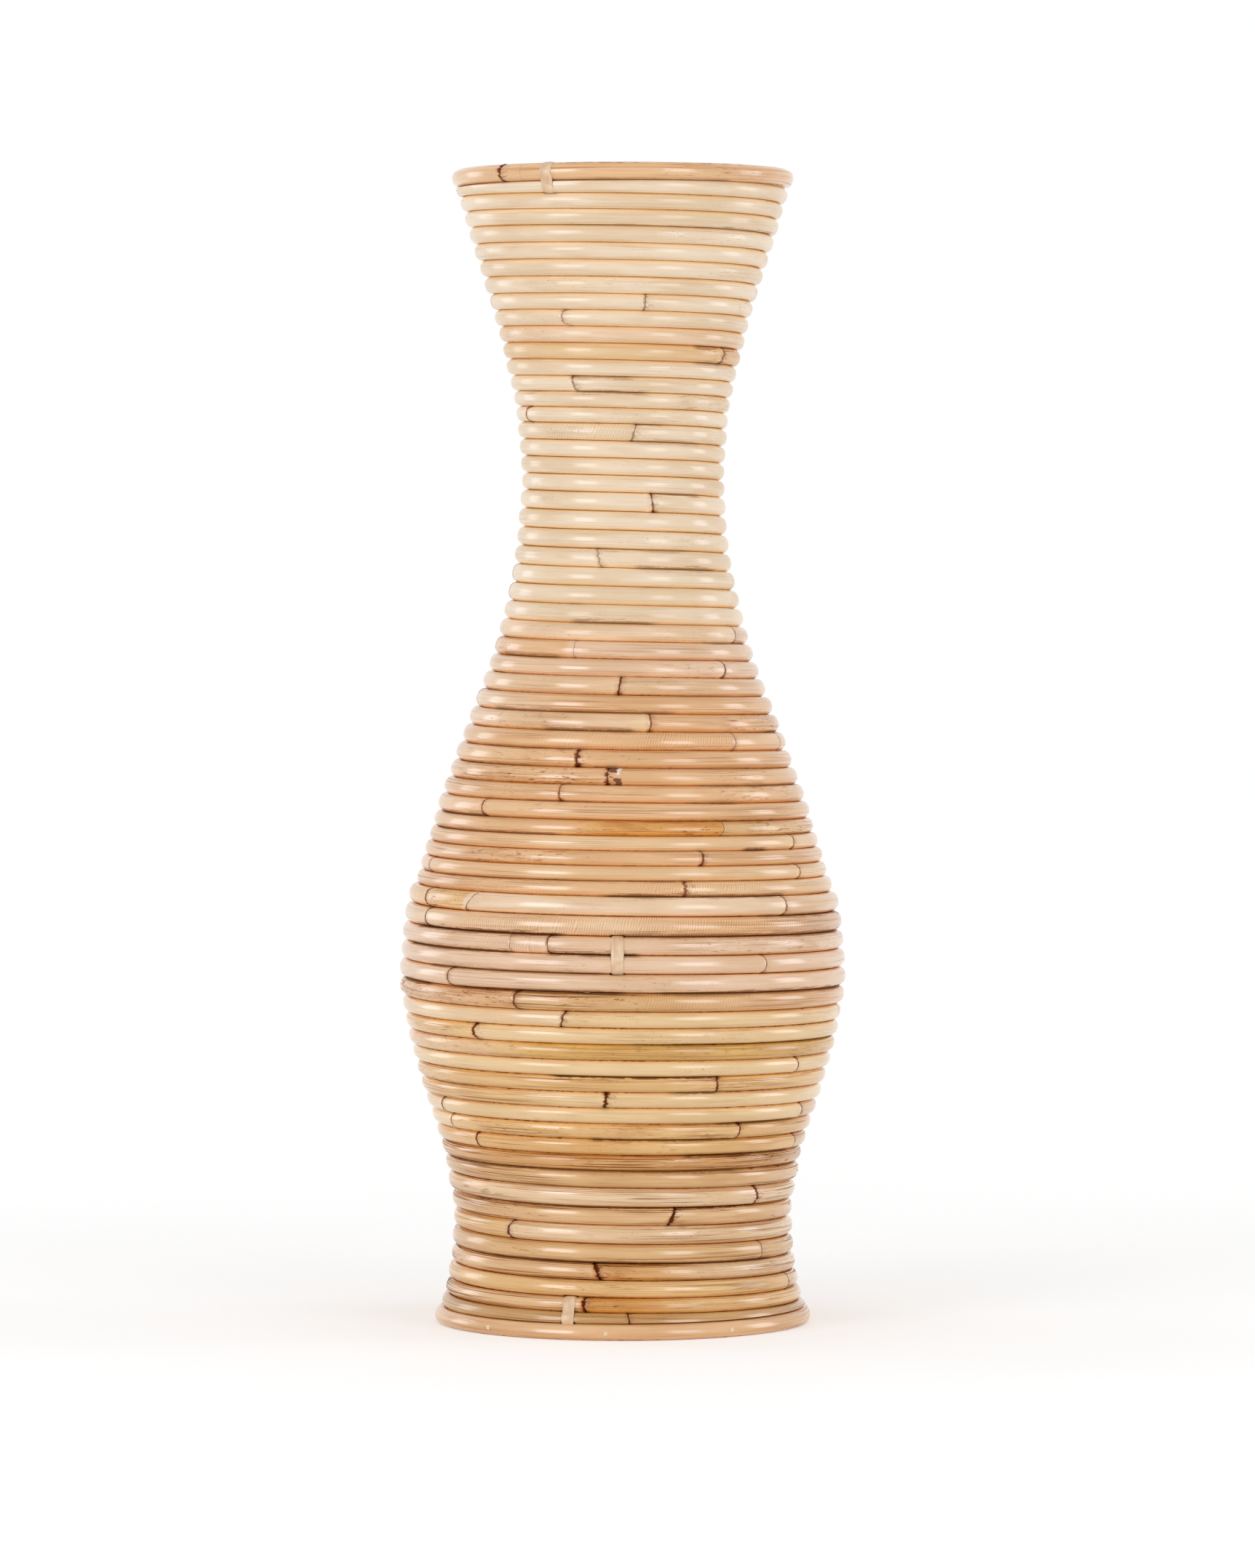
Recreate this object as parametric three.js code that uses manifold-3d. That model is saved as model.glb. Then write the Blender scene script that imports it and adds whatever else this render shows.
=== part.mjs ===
// A tall rattan vase: whole rattan canes wound in one rising spiral, from a level base hoop to a level rim
// hoop. The spiral is laid cane after cane, butted end to end, and pinned from inside to six upright rattan
// splints. Its first and last turns are pared to a long taper, which fills the wedge between spiral and hoop.
// Strips of rattan peel bind the first turns, a joint at the belly, and the last turn to the rim hoop.
// A plywood panel is let into the base hoop and held by steel brads driven through the hoop.
// Millimetres, +Z up, origin on the floor at the centre of the foot. The front looks along +Y.
import * as THREE from "three";
import { mergeVertices } from "three/addons/utils/BufferGeometryUtils.js";
import Module from "manifold-3d";

// Outline of the vase, measured over the outside of the canes
const HEIGHT = 600;
const RIM_RADIUS = 89;
const NECK_RADIUS = 52.7;
const NECK_HEIGHT = 434.5;
const BELLY_RADIUS = 115.8;
const BELLY_HEIGHT = 180;
const WAIST_RADIUS = 87.4;
const WAIST_HEIGHT = 56;
const FOOT_RADIUS = 98;

// How the outline leaves the rim and the foot: degrees from upright
const RIM_FLARE = 15;
const FOOT_FLARE = 21;

// Canes, from the foot up: how many times each one goes round, and the height of row that it makes.
// They are natural stock, so no two are quite as thick. Together they fill the wall at this height, and in a
// taller or shorter one they all go round more or less often in the same proportion.
const CANES = [
  { turns: 1.77, row: 7.9 },
  { turns: 1.99, row: 8.9 },
  { turns: 2.09, row: 9.9 },
  { turns: 0.84, row: 9.8 },
  { turns: 1.55, row: 10.1 },
  { turns: 5.51, row: 8.6 },
  { turns: 5.03, row: 8.5 },
  { turns: 4.01, row: 9.5 },
  { turns: 2.07, row: 10.1 },
  { turns: 4.79, row: 7.9 },
  { turns: 3.1, row: 9.3 },
  { turns: 1.03, row: 9.7 },
  { turns: 3.96, row: 9.9 },
  { turns: 2.82, row: 9.5 },
  { turns: 7.13, row: 9.8 },
  { turns: 4.03, row: 8.9 },
  { turns: 3.09, row: 8.2 },
  { turns: 4.9, row: 8.7 },
  { turns: 4.53, row: 9.0 },
  { turns: 3.35, row: 8.3 },
];

// The slit between two rows, and between two canes that butt
const ROW_SLIT = 0.84;
const END_SLIT = 0.6;

// How much of a cane's six-sided section lies flat against its neighbours, as a share of its width
const FLAT_SHARE = 0.45;

// Winding: facets in one turn, where the first cane starts (degrees right of the front), and its pared tip
const STEPS_PER_TURN = 18;
const START_ANGLE = -95;
const TIP_THICKNESS = 2;

// Hoops: the height of row that each makes, where each one's ends butt, degrees right of the front, and how
// deep the foot is cut flat
const HOOP_ROW = 8.8;
const RIM_JOINT_ANGLE = -45;
const BASE_JOINT_ANGLE = 150;
const FOOT_CUT = 0.9;

// Strips of peel that bind two neighbouring turns
const TIE_WIDTH = 6.4;
const TIE_THICKNESS = 0.9;
const TIE_CLEARANCE = 0.4;
const BASE_TIE_ANGLE = -17.3;
const BELLY_TIE_ANGLE = -1.3;
const BELLY_TIE_HEIGHT = 191;
const RIM_TIE_ANGLE = -26.4;

// Upright splints inside the wall
const SPLINT_COUNT = 6;
const FIRST_SPLINT_ANGLE = -45;
const SPLINT_WIDTH = 9;
const SPLINT_THICKNESS = 3.2;
const SPLINT_STEPS = 40;
const SPLINT_CLEARANCE = 0.7;
const SPLINT_TOP_DROP = 4;

// Plywood panel in the foot, and the brads that hold it
const PANEL_THICKNESS = 5.5;
const PANEL_RECESS = 1;
const PANEL_CHAMFER = 0.6;
const BRAD_COUNT = 9;
const BRAD_LENGTH = 19;
const BRAD_RADIUS = 0.7;
const BRAD_HEAD_RADIUS = 1.3;
const BRAD_HEAD_THICKNESS = 0.7;
const BRAD_POINT = 1.4;

// Running clearance between two pieces that seat on each other
const SEAT_GAP = 0.3;

// The canes are sorted by colour: the lowest ones up to this number are golden, and up to the next one tan.
const GOLDEN_CANES = 7;
const TAN_CANES = 14;
const COLOURS = {
  pale: 0xe9d2ae,
  tan: 0xdcb083,
  golden: 0xdfb67e,
  olive: 0xbe9360,
  peel: 0xe3c7a3,
  splint: 0xcfa877,
  plywood: 0xc9a676,
  steel: 0x9a9a98,
};

const wasm = await Module();
wasm.setup();

const radians = THREE.MathUtils.degToRad;
const STEP_ANGLE = 360 / STEPS_PER_TURN;
// A ring of facets is closest to the axis in the middle of each facet.
const FACET_INSET = Math.cos(Math.PI / STEPS_PER_TURN);

// Half the width of the six-sided cane, from corner to corner, that makes a row of this height
function halfWidthOf(row) {
  return (row - ROW_SLIT) / 2 / Math.cos(Math.PI / 6);
}

const HOOP_HALF_WIDTH = halfWidthOf(HOOP_ROW);

// The wall's centre line, from the middle of the base hoop to the middle of the rim hoop, in four pulls
function wallCurve() {
  const footHeight = HOOP_HALF_WIDTH - FOOT_CUT;
  const rimHeight = HEIGHT - HOOP_HALF_WIDTH;
  const centre = (outside, height) => new THREE.Vector2(outside - HOOP_HALF_WIDTH, height);
  const foot = centre(FOOT_RADIUS, footHeight);
  const waist = centre(WAIST_RADIUS, WAIST_HEIGHT);
  const belly = centre(BELLY_RADIUS, BELLY_HEIGHT);
  const neck = centre(NECK_RADIUS, NECK_HEIGHT);
  const rim = centre(RIM_RADIUS, rimHeight);
  // Each pull is a share of the height between its two ends.
  const pull = (from, to, leave, arrive, flareFrom = 0, flareTo = 0) => {
    const rise = to.y - from.y;
    return new THREE.CubicBezierCurve(
      from,
      new THREE.Vector2(from.x - rise * leave * Math.tan(radians(flareFrom)), from.y + rise * leave),
      new THREE.Vector2(to.x - rise * arrive * Math.tan(radians(flareTo)), to.y - rise * arrive),
      to,
    );
  };
  const path = new THREE.CurvePath();
  path.add(pull(foot, waist, 0.3, 0.32, FOOT_FLARE, 0));
  path.add(pull(waist, belly, 0.26, 0.33));
  path.add(pull(belly, neck, 0.33, 0.39));
  path.add(pull(neck, rim, 0.39, 0.13, 0, RIM_FLARE));
  return path;
}

const wall = wallCurve();
const WALL_LENGTH = wall.getLength();

// The wall's point and its upward and outward directions at a distance along it, as radius and height
function wallAt(distance) {
  const share = THREE.MathUtils.clamp(distance / WALL_LENGTH, 0, 1);
  const point = wall.getPoint(share);
  const up = wall.getTangent(share);
  return { point, up, out: new THREE.Vector2(up.y, -up.x) };
}

// The six corners of a cane's section, as radius and height, from its outer corner round over the top.
// All canes lie against one inner line, so a thick one stands out further.
function caneSection(distance, height = HOOP_ROW, row = HOOP_ROW, widthLeft = 1) {
  const { point, up, out } = wallAt(distance);
  const halfFlat = (height - ROW_SLIT) / 2;
  const halfWidth = halfWidthOf(row) * widthLeft;
  const centre = point.clone().addScaledVector(out, halfWidthOf(row) - HOOP_HALF_WIDTH);
  const corner = (along, above) =>
    centre.clone().addScaledVector(out, along * halfWidth).addScaledVector(up, above * halfFlat);
  return [
    corner(1, 0),
    corner(FLAT_SHARE, 1),
    corner(-FLAT_SHARE, 1),
    corner(-1, 0),
    corner(-FLAT_SHARE, -1),
    corner(FLAT_SHARE, -1),
  ];
}

// The spiral fills the wall from the top of the base hoop to the underside of the rim hoop.
const FILLED_FROM = HOOP_ROW / 2;
const FILLED_TO = WALL_LENGTH - HOOP_ROW / 2;

// Each cane with the place where it starts: turns from the spiral's tip, and distance along the wall
const rowsAsked = CANES.reduce((sum, { turns, row }) => sum + turns * row, 0);
const stretch = (FILLED_TO + CANES.at(-1).row - FILLED_FROM) / rowsAsked;
const canes = [];
let turnsSoFar = 0;
let filledSoFar = FILLED_FROM;
for (const { turns, row } of CANES) {
  canes.push({ from: turnsSoFar, filled: filledSoFar, row });
  turnsSoFar += stretch * turns;
  filledSoFar += stretch * turns * row;
}

// How far up the wall the spiral has filled after so many turns, and after how many turns it fills so much
function filledAt(turn) {
  const cane = canes.findLast((c) => c.from <= turn) ?? canes[0];
  return cane.filled + (turn - cane.from) * cane.row;
}
function turnsToFill(distance) {
  const cane = canes.findLast((c) => c.filled <= distance) ?? canes[0];
  return cane.from + (distance - cane.filled) / cane.row;
}
const TURNS = turnsSoFar;

// The section of the spiral after so many turns. The first turn grows out of the base hoop and the last one
// fades under the rim hoop: both are pared flat on the side that meets the hoop.
function spiralSection(turn) {
  const whole = filledAt(turn) - filledAt(turn - 1);
  const lower = Math.max(filledAt(turn - 1), FILLED_FROM);
  const upper = Math.min(filledAt(turn), FILLED_TO);
  const left = (upper - lower) / whole;
  const widthLeft = left < 0.5 ? 2 * Math.sqrt(left * (1 - left)) : 1;
  return caneSection((lower + upper) / 2, upper - lower, whole, widthLeft);
}

// A point at a radius and height, at an angle in degrees to the right of the front
function around(radius, height, angle) {
  return new THREE.Vector3(radius * Math.sin(radians(angle)), -radius * Math.cos(radians(angle)), height);
}

// A tube through a list of rings of corners, closed by a flat face at each end
function tubeThroughRings(rings) {
  const sides = rings[0].length;
  const index = [];
  for (let ring = 0; ring + 1 < rings.length; ring++) {
    for (let side = 0; side < sides; side++) {
      const next = (side + 1) % sides;
      const [a, b] = [ring * sides + side, ring * sides + next];
      const [c, d] = [a + sides, b + sides];
      index.push(a, b, c, b, d, c);
    }
  }
  const last = (rings.length - 1) * sides;
  for (let side = 1; side + 1 < sides; side++) {
    index.push(0, side + 1, side);
    index.push(last, last + side, last + side + 1);
  }
  const geometry = new THREE.BufferGeometry().setFromPoints(rings.flat());
  geometry.setIndex(index);
  return geometry;
}

// Rings at each facet corner between two places in the winding, and at the two places themselves, which are
// moved in by half the slit so that two canes butt with a slit between them.
function windingRings(from, to, sectionAt) {
  const corners = (step) => {
    const turn = step / STEPS_PER_TURN;
    return sectionAt(turn).map((p) => around(p.x, p.y, START_ANGLE - 360 * turn));
  };
  const movedIn = (step, shift) => {
    const facet = Math.floor(step);
    return step + shift / corners(facet)[0].distanceTo(corners(facet + 1)[0]);
  };
  const onFacet = (step) => {
    const facet = Math.floor(step);
    const next = corners(facet + 1);
    return corners(facet).map((p, i) => p.lerp(next[i], step - facet));
  };
  const firstStep = movedIn(from * STEPS_PER_TURN, END_SLIT / 2);
  const lastStep = movedIn(to * STEPS_PER_TURN, -END_SLIT / 2);
  // A corner closer than this share of a facet to either end is left out.
  const close = 0.01;
  const rings = [onFacet(firstStep)];
  for (let step = Math.floor(firstStep + close) + 1; step < lastStep - close; step++) {
    rings.push(corners(step));
  }
  rings.push(onFacet(lastStep));
  return rings;
}

// One cane of the spiral, between two places counted in turns from the start
function spiralCane(from, to) {
  return tubeThroughRings(windingRings(from, to, spiralSection));
}

// A level hoop of one cane whose ends butt at an angle
function levelHoop(distance, jointAngle) {
  const section = caneSection(distance);
  const joint = (START_ANGLE - jointAngle) / 360;
  return tubeThroughRings(windingRings(joint, joint + 1, () => section));
}

// Where the spiral's rows lie at an angle: the place, in turns, of the one with its middle nearest a distance
function turnNear(distance, angle) {
  const atAngle = (START_ANGLE - angle) / 360;
  return atAngle + Math.round(turnsToFill(distance) + 0.5 - atAngle);
}

// The corners that stay when a rope is pulled tight round a set of points, counter-clockwise
function ropeRound(points) {
  const sorted = [...points].sort((a, b) => a.x - b.x || a.y - b.y);
  const cross = (o, a, b) => (a.x - o.x) * (b.y - o.y) - (a.y - o.y) * (b.x - o.x);
  const half = (list) => {
    const kept = [];
    for (const p of list) {
      while (kept.length > 1 && cross(kept.at(-2), kept.at(-1), p) <= 1e-9) kept.pop();
      kept.push(p);
    }
    return kept.slice(0, -1);
  };
  return [...half(sorted), ...half(sorted.reverse())];
}

// An outline with each edge moved outwards by its own amount
function movedOut(outline, amount) {
  const edges = outline.map((a, i) => {
    const b = outline[(i + 1) % outline.length];
    const along = b.clone().sub(a).normalize();
    const out = new THREE.Vector2(along.y, -along.x);
    return { along, out, at: a.clone().addScaledVector(out, amount(out)) };
  });
  return edges.map((edge, i) => {
    const before = edges[(i + edges.length - 1) % edges.length];
    const turn = before.along.cross(edge.along);
    const reach = edge.at.clone().sub(before.at).cross(edge.along) / turn;
    return before.at.clone().addScaledVector(before.along, reach);
  });
}

// A closed band in the plane of radius and height, stood up at an angle and as wide as asked along the facet
function bandAt(inside, outside, width, angle) {
  const shape = new THREE.Shape(outside);
  shape.holes.push(new THREE.Path(inside));
  const geometry = new THREE.ExtrudeGeometry(shape, { depth: width, bevelEnabled: false });
  geometry.translate(0, 0, -width / 2);
  // Drawn radius becomes the outward direction at the front, drawn height becomes up.
  geometry.rotateX(Math.PI / 2);
  geometry.rotateZ(-Math.PI / 2);
  // The band stands square to the facet that it lies on, and slides along that facet to its own angle.
  const facet = (Math.round((angle - START_ANGLE) / STEP_ANGLE - 0.5) + 0.5) * STEP_ANGLE + START_ANGLE;
  const middle = (inside[0].x + inside[Math.floor(inside.length / 2)].x) / 2;
  geometry.translate(middle * Math.tan(radians(angle - facet)), 0, 0);
  geometry.rotateZ(radians(facet));
  return geometry;
}

// A strip of peel round two sections, and the room that it needs in the canes that it squeezes between.
// The sections are drawn where the facets are closest to the axis.
function tieRound(sections, angle, openBelow, openAbove) {
  const points = sections.flat().map((p) => new THREE.Vector2(p.x * FACET_INSET, p.y));
  const rope = ropeRound(points);
  const squeezed = (ROW_SLIT - TIE_THICKNESS) / 2;
  const up = sections[1][1].clone().sub(sections[0][1]).normalize();
  const inside = movedOut(rope, (out) => {
    const side = out.dot(up);
    if (side > 0.9) return openAbove ? TIE_CLEARANCE : squeezed;
    if (side < -0.9) return openBelow ? TIE_CLEARANCE : squeezed;
    return TIE_CLEARANCE;
  });
  const outside = movedOut(inside, () => TIE_THICKNESS);
  return {
    strip: bandAt(inside, outside, TIE_WIDTH, angle),
    room: bandAt(
      movedOut(inside, () => -SEAT_GAP),
      movedOut(outside, () => SEAT_GAP),
      TIE_WIDTH + 2 * SEAT_GAP,
      angle,
    ),
  };
}

// One upright splint: the wall's inner side drawn as a strip, stood up at the middle of a facet
function splint(angle) {
  const floor = PANEL_RECESS + PANEL_THICKNESS + SEAT_GAP;
  const innerSide = (distance, depth) => {
    const { point, out } = wallAt(distance);
    const radius = (point.x - out.x * HOOP_HALF_WIDTH) * FACET_INSET - out.x * (depth + SPLINT_CLEARANCE);
    return new THREE.Vector2(radius, point.y - out.y * (HOOP_HALF_WIDTH + depth + SPLINT_CLEARANCE));
  };
  const top = WALL_LENGTH - SPLINT_TOP_DROP;
  // The strip starts where its outer side stands clear above the panel.
  const start = floor + SPLINT_THICKNESS;
  const pitch = (top - start) / SPLINT_STEPS;
  const stations = Array.from({ length: SPLINT_STEPS + 1 }, (_, i) => start + i * pitch);
  const face = (depth) => stations.map((distance) => innerSide(distance, depth));
  const outer = face(0);
  const inner = face(SPLINT_THICKNESS);
  const foot = (p) => new THREE.Vector2(p.x, floor);
  outer[0] = foot(outer[0]);
  inner[0] = foot(inner[0]);
  const geometry = new THREE.ExtrudeGeometry(new THREE.Shape([...inner, ...outer.reverse()]), {
    depth: SPLINT_WIDTH,
    bevelEnabled: false,
  });
  geometry.translate(0, 0, -SPLINT_WIDTH / 2);
  geometry.rotateX(Math.PI / 2);
  geometry.rotateZ(-Math.PI / 2 + radians(angle));
  return geometry;
}

// The panel: as many sides as the hoop has facets, so that its edge lies along them
function panel(radius) {
  const bottom = PANEL_RECESS;
  const top = PANEL_RECESS + PANEL_THICKNESS;
  const outline = [
    [0, bottom],
    [radius - PANEL_CHAMFER, bottom],
    [radius, bottom + PANEL_CHAMFER],
    [radius, top - PANEL_CHAMFER],
    [radius - PANEL_CHAMFER, top],
    [0, top],
  ].map(([x, y]) => new THREE.Vector2(x, y));
  return new THREE.LatheGeometry(outline, STEPS_PER_TURN, radians(START_ANGLE)).rotateX(Math.PI / 2);
}

// A brad along +Z with its head's outer face at zero, grown all round by a margin when it is used as a drill
function brad(margin = 0) {
  const outline = [
    [0, -margin],
    [BRAD_HEAD_RADIUS + margin, -margin],
    [BRAD_HEAD_RADIUS + margin, BRAD_HEAD_THICKNESS + margin],
    [BRAD_RADIUS + margin, BRAD_HEAD_THICKNESS + margin],
    [BRAD_RADIUS + margin, BRAD_LENGTH - BRAD_POINT + margin],
    [0, BRAD_LENGTH + margin],
  ].map(([x, y]) => new THREE.Vector2(x, y));
  return new THREE.LatheGeometry(outline, 6).rotateX(Math.PI / 2);
}

// Stands a brad in the middle of a facet, pointing at the axis
function driven(geometry, radius, height, angle) {
  return geometry
    .clone()
    .rotateX(-Math.PI / 2)
    .translate(0, -radius, height)
    .rotateZ(radians(angle));
}

function toSolid(geometry) {
  const bare = new THREE.BufferGeometry();
  bare.setAttribute("position", geometry.getAttribute("position"));
  if (geometry.index) bare.setIndex(geometry.index);
  const merged = mergeVertices(bare, 1e-4);
  return new wasm.Manifold(
    new wasm.Mesh({
      numProp: 3,
      vertProperties: new Float32Array(merged.getAttribute("position").array),
      triVerts: new Uint32Array(merged.index.array),
    }),
  );
}

function toGeometry(solid) {
  const mesh = solid.getMesh();
  const geometry = new THREE.BufferGeometry();
  geometry.setAttribute("position", new THREE.BufferAttribute(new Float32Array(mesh.vertProperties), 3));
  geometry.setIndex(new THREE.BufferAttribute(new Uint32Array(mesh.triVerts), 1));
  return geometry;
}

// Takes each cutter out of a piece where it reaches it
function cutBy(geometry, cutters) {
  let solid = toSolid(geometry);
  let changed = false;
  for (const cutter of cutters) {
    if (solid.intersect(cutter).volume() > 1e-6) {
      solid = solid.subtract(cutter);
      changed = true;
    }
  }
  return changed ? toGeometry(solid) : geometry;
}

const vase = new THREE.Group();

function addPiece(name, geometry, colour, roughness, metalness = 0) {
  const flat = geometry.index ? geometry.toNonIndexed() : geometry;
  flat.computeVertexNormals();
  const mesh = new THREE.Mesh(flat, new THREE.MeshStandardMaterial({ color: colour, roughness, metalness }));
  mesh.name = name;
  vase.add(mesh);
}

// Ties, with the room that they need in the canes
function distanceAtHeight(height) {
  let [low, high] = [0, WALL_LENGTH];
  while (high - low > 0.01) {
    const middle = (low + high) / 2;
    if (wallAt(middle).point.y < height) low = middle;
    else high = middle;
  }
  return low;
}
const lowerTurn = turnNear(FILLED_FROM + HOOP_ROW / 2, BASE_TIE_ANGLE);
const bellyTurn = turnNear(distanceAtHeight(BELLY_TIE_HEIGHT) - HOOP_ROW / 2, BELLY_TIE_ANGLE);
const upperTurn = turnNear(FILLED_TO - HOOP_ROW / 2, RIM_TIE_ANGLE);
const turnAndNext = (turn) => [spiralSection(turn), spiralSection(turn + 1)];
const ties = {
  base_tie: tieRound(turnAndNext(lowerTurn), BASE_TIE_ANGLE, false, false),
  belly_tie: tieRound(turnAndNext(bellyTurn), BELLY_TIE_ANGLE, false, false),
  rim_tie: tieRound([spiralSection(upperTurn), caneSection(WALL_LENGTH)], RIM_TIE_ANGLE, false, true),
};
const tieRooms = Object.values(ties).map((tie) => toSolid(tie.room));

// Brads through the base hoop into the panel's edge, each in the middle of a facet
const hoopSection = caneSection(0);
const bradHeight = PANEL_RECESS + PANEL_THICKNESS / 2;
const hoopOutside = Math.max(...hoopSection.map((p) => p.x)) * FACET_INSET;
const bradAngles = Array.from({ length: BRAD_COUNT }, (_, i) => {
  const facet = Math.round((i * STEPS_PER_TURN) / BRAD_COUNT) + 0.5;
  return START_ANGLE + facet * STEP_ANGLE;
});
const drills = bradAngles.map((angle) => toSolid(driven(brad(SEAT_GAP), hoopOutside, bradHeight, angle)));

// The slab below the floor, which cuts the base hoop flat
const underFloor = new THREE.BoxGeometry(3 * FOOT_RADIUS, 3 * FOOT_RADIUS, 2 * HOOP_ROW);
underFloor.translate(0, 0, -HOOP_ROW);

addPiece(
  "base_hoop",
  cutBy(levelHoop(0, BASE_JOINT_ANGLE), [toSolid(underFloor), ...tieRooms, ...drills]),
  COLOURS.golden,
  0.35,
);
const panelRadius = Math.min(...hoopSection.map((p) => p.x)) - SEAT_GAP / FACET_INSET;
addPiece("base_panel", cutBy(panel(panelRadius), drills), COLOURS.plywood, 0.7);
bradAngles.forEach((angle, i) => {
  const name = `panel_brad_${i + 1}`;
  addPiece(name, driven(brad(), hoopOutside, bradHeight, angle), COLOURS.steel, 0.35, 0.9);
});

// The spiral, cane by cane
const spiralStart = TIP_THICKNESS / canes[0].row;
const spiralEnd = TURNS - TIP_THICKNESS / canes.at(-1).row;
const joints = [spiralStart, ...canes.slice(1).map((cane) => cane.from), spiralEnd];
function caneColour(number) {
  if (number === 1) return COLOURS.olive;
  if (number <= GOLDEN_CANES) return COLOURS.golden;
  return number <= TAN_CANES ? COLOURS.tan : COLOURS.pale;
}
for (let number = 1; number < joints.length; number++) {
  addPiece(
    `coil_cane_${String(number).padStart(2, "0")}`,
    cutBy(spiralCane(joints[number - 1], joints[number]), tieRooms),
    caneColour(number),
    0.35,
  );
}

addPiece("rim_hoop", cutBy(levelHoop(WALL_LENGTH, RIM_JOINT_ANGLE), tieRooms), COLOURS.tan, 0.35);
for (const [name, tie] of Object.entries(ties)) addPiece(name, tie.strip, COLOURS.peel, 0.4);
const firstSplintFacet = Math.floor((FIRST_SPLINT_ANGLE - START_ANGLE) / STEP_ANGLE);
for (let i = 0; i < SPLINT_COUNT; i++) {
  const facet = firstSplintFacet + Math.round((i * STEPS_PER_TURN) / SPLINT_COUNT);
  addPiece(`inner_splint_${i + 1}`, splint(START_ANGLE + (facet + 0.5) * STEP_ANGLE), COLOURS.splint, 0.6);
}

// The least gap between two turns, from each section's corners to the faces of the one above
function leastTurnGap() {
  const toFace = (p, a, b) => {
    const line = b.clone().sub(a);
    const share = THREE.MathUtils.clamp(p.clone().sub(a).dot(line) / line.lengthSq(), 0, 1);
    return p.distanceTo(a.clone().addScaledVector(line, share));
  };
  let least = Infinity;
  for (let step = 0; step / STEPS_PER_TURN < spiralEnd - 1; step++) {
    const turn = Math.max(step / STEPS_PER_TURN, spiralStart);
    const [below, above] = [spiralSection(turn), spiralSection(turn + 1)];
    for (const [one, other] of [[below, above], [above, below]]) {
      for (const p of one) {
        other.forEach((a, i) => {
          least = Math.min(least, toFace(p, a, other[(i + 1) % other.length]));
        });
      }
    }
  }
  return least;
}

console.log(`wall ${WALL_LENGTH.toFixed(1)} mm, ${TURNS.toFixed(2)} turns, ${joints.length - 1} canes`);
console.log(`least gap between turns ${leastTurnGap().toFixed(2)} mm`);

export default vase;
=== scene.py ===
import math

import bpy
import numpy as np
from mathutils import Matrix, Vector


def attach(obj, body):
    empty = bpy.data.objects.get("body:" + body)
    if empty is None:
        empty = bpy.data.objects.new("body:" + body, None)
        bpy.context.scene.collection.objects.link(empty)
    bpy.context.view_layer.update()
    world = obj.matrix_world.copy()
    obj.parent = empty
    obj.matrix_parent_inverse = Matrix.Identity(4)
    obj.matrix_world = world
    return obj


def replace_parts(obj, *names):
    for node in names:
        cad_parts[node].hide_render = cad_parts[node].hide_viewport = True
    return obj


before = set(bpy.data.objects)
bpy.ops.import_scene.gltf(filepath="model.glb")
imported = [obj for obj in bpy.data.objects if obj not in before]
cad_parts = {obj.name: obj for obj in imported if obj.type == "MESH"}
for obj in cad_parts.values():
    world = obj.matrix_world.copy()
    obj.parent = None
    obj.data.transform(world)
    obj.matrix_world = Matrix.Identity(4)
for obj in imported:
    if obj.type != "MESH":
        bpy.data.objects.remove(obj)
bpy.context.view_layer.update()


# Camera, floor and light
# The camera stands 3.64 m in front of the vase, level with its neck, and looks slightly down. The floor is
# painted white, the room is pale all round, and four soft lamps draw the long shines on the lacquer.
# Places are in metres and angles in degrees, and the lens and the frame behind it are in millimetres.
CAMERA_PLACE = (0.0025, -3.64, 0.407)
CAMERA_DIP = 1.99
CAMERA_LENS = 160.3
CAMERA_FRAME = 36
bpy.context.scene.view_settings.view_transform = "Standard"
bpy.ops.object.camera_add(location=CAMERA_PLACE, rotation=(math.radians(90 - CAMERA_DIP), 0, 0))
camera = bpy.context.object
camera.data.lens = CAMERA_LENS
camera.data.sensor_width = CAMERA_FRAME
bpy.context.scene.camera = camera


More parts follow.
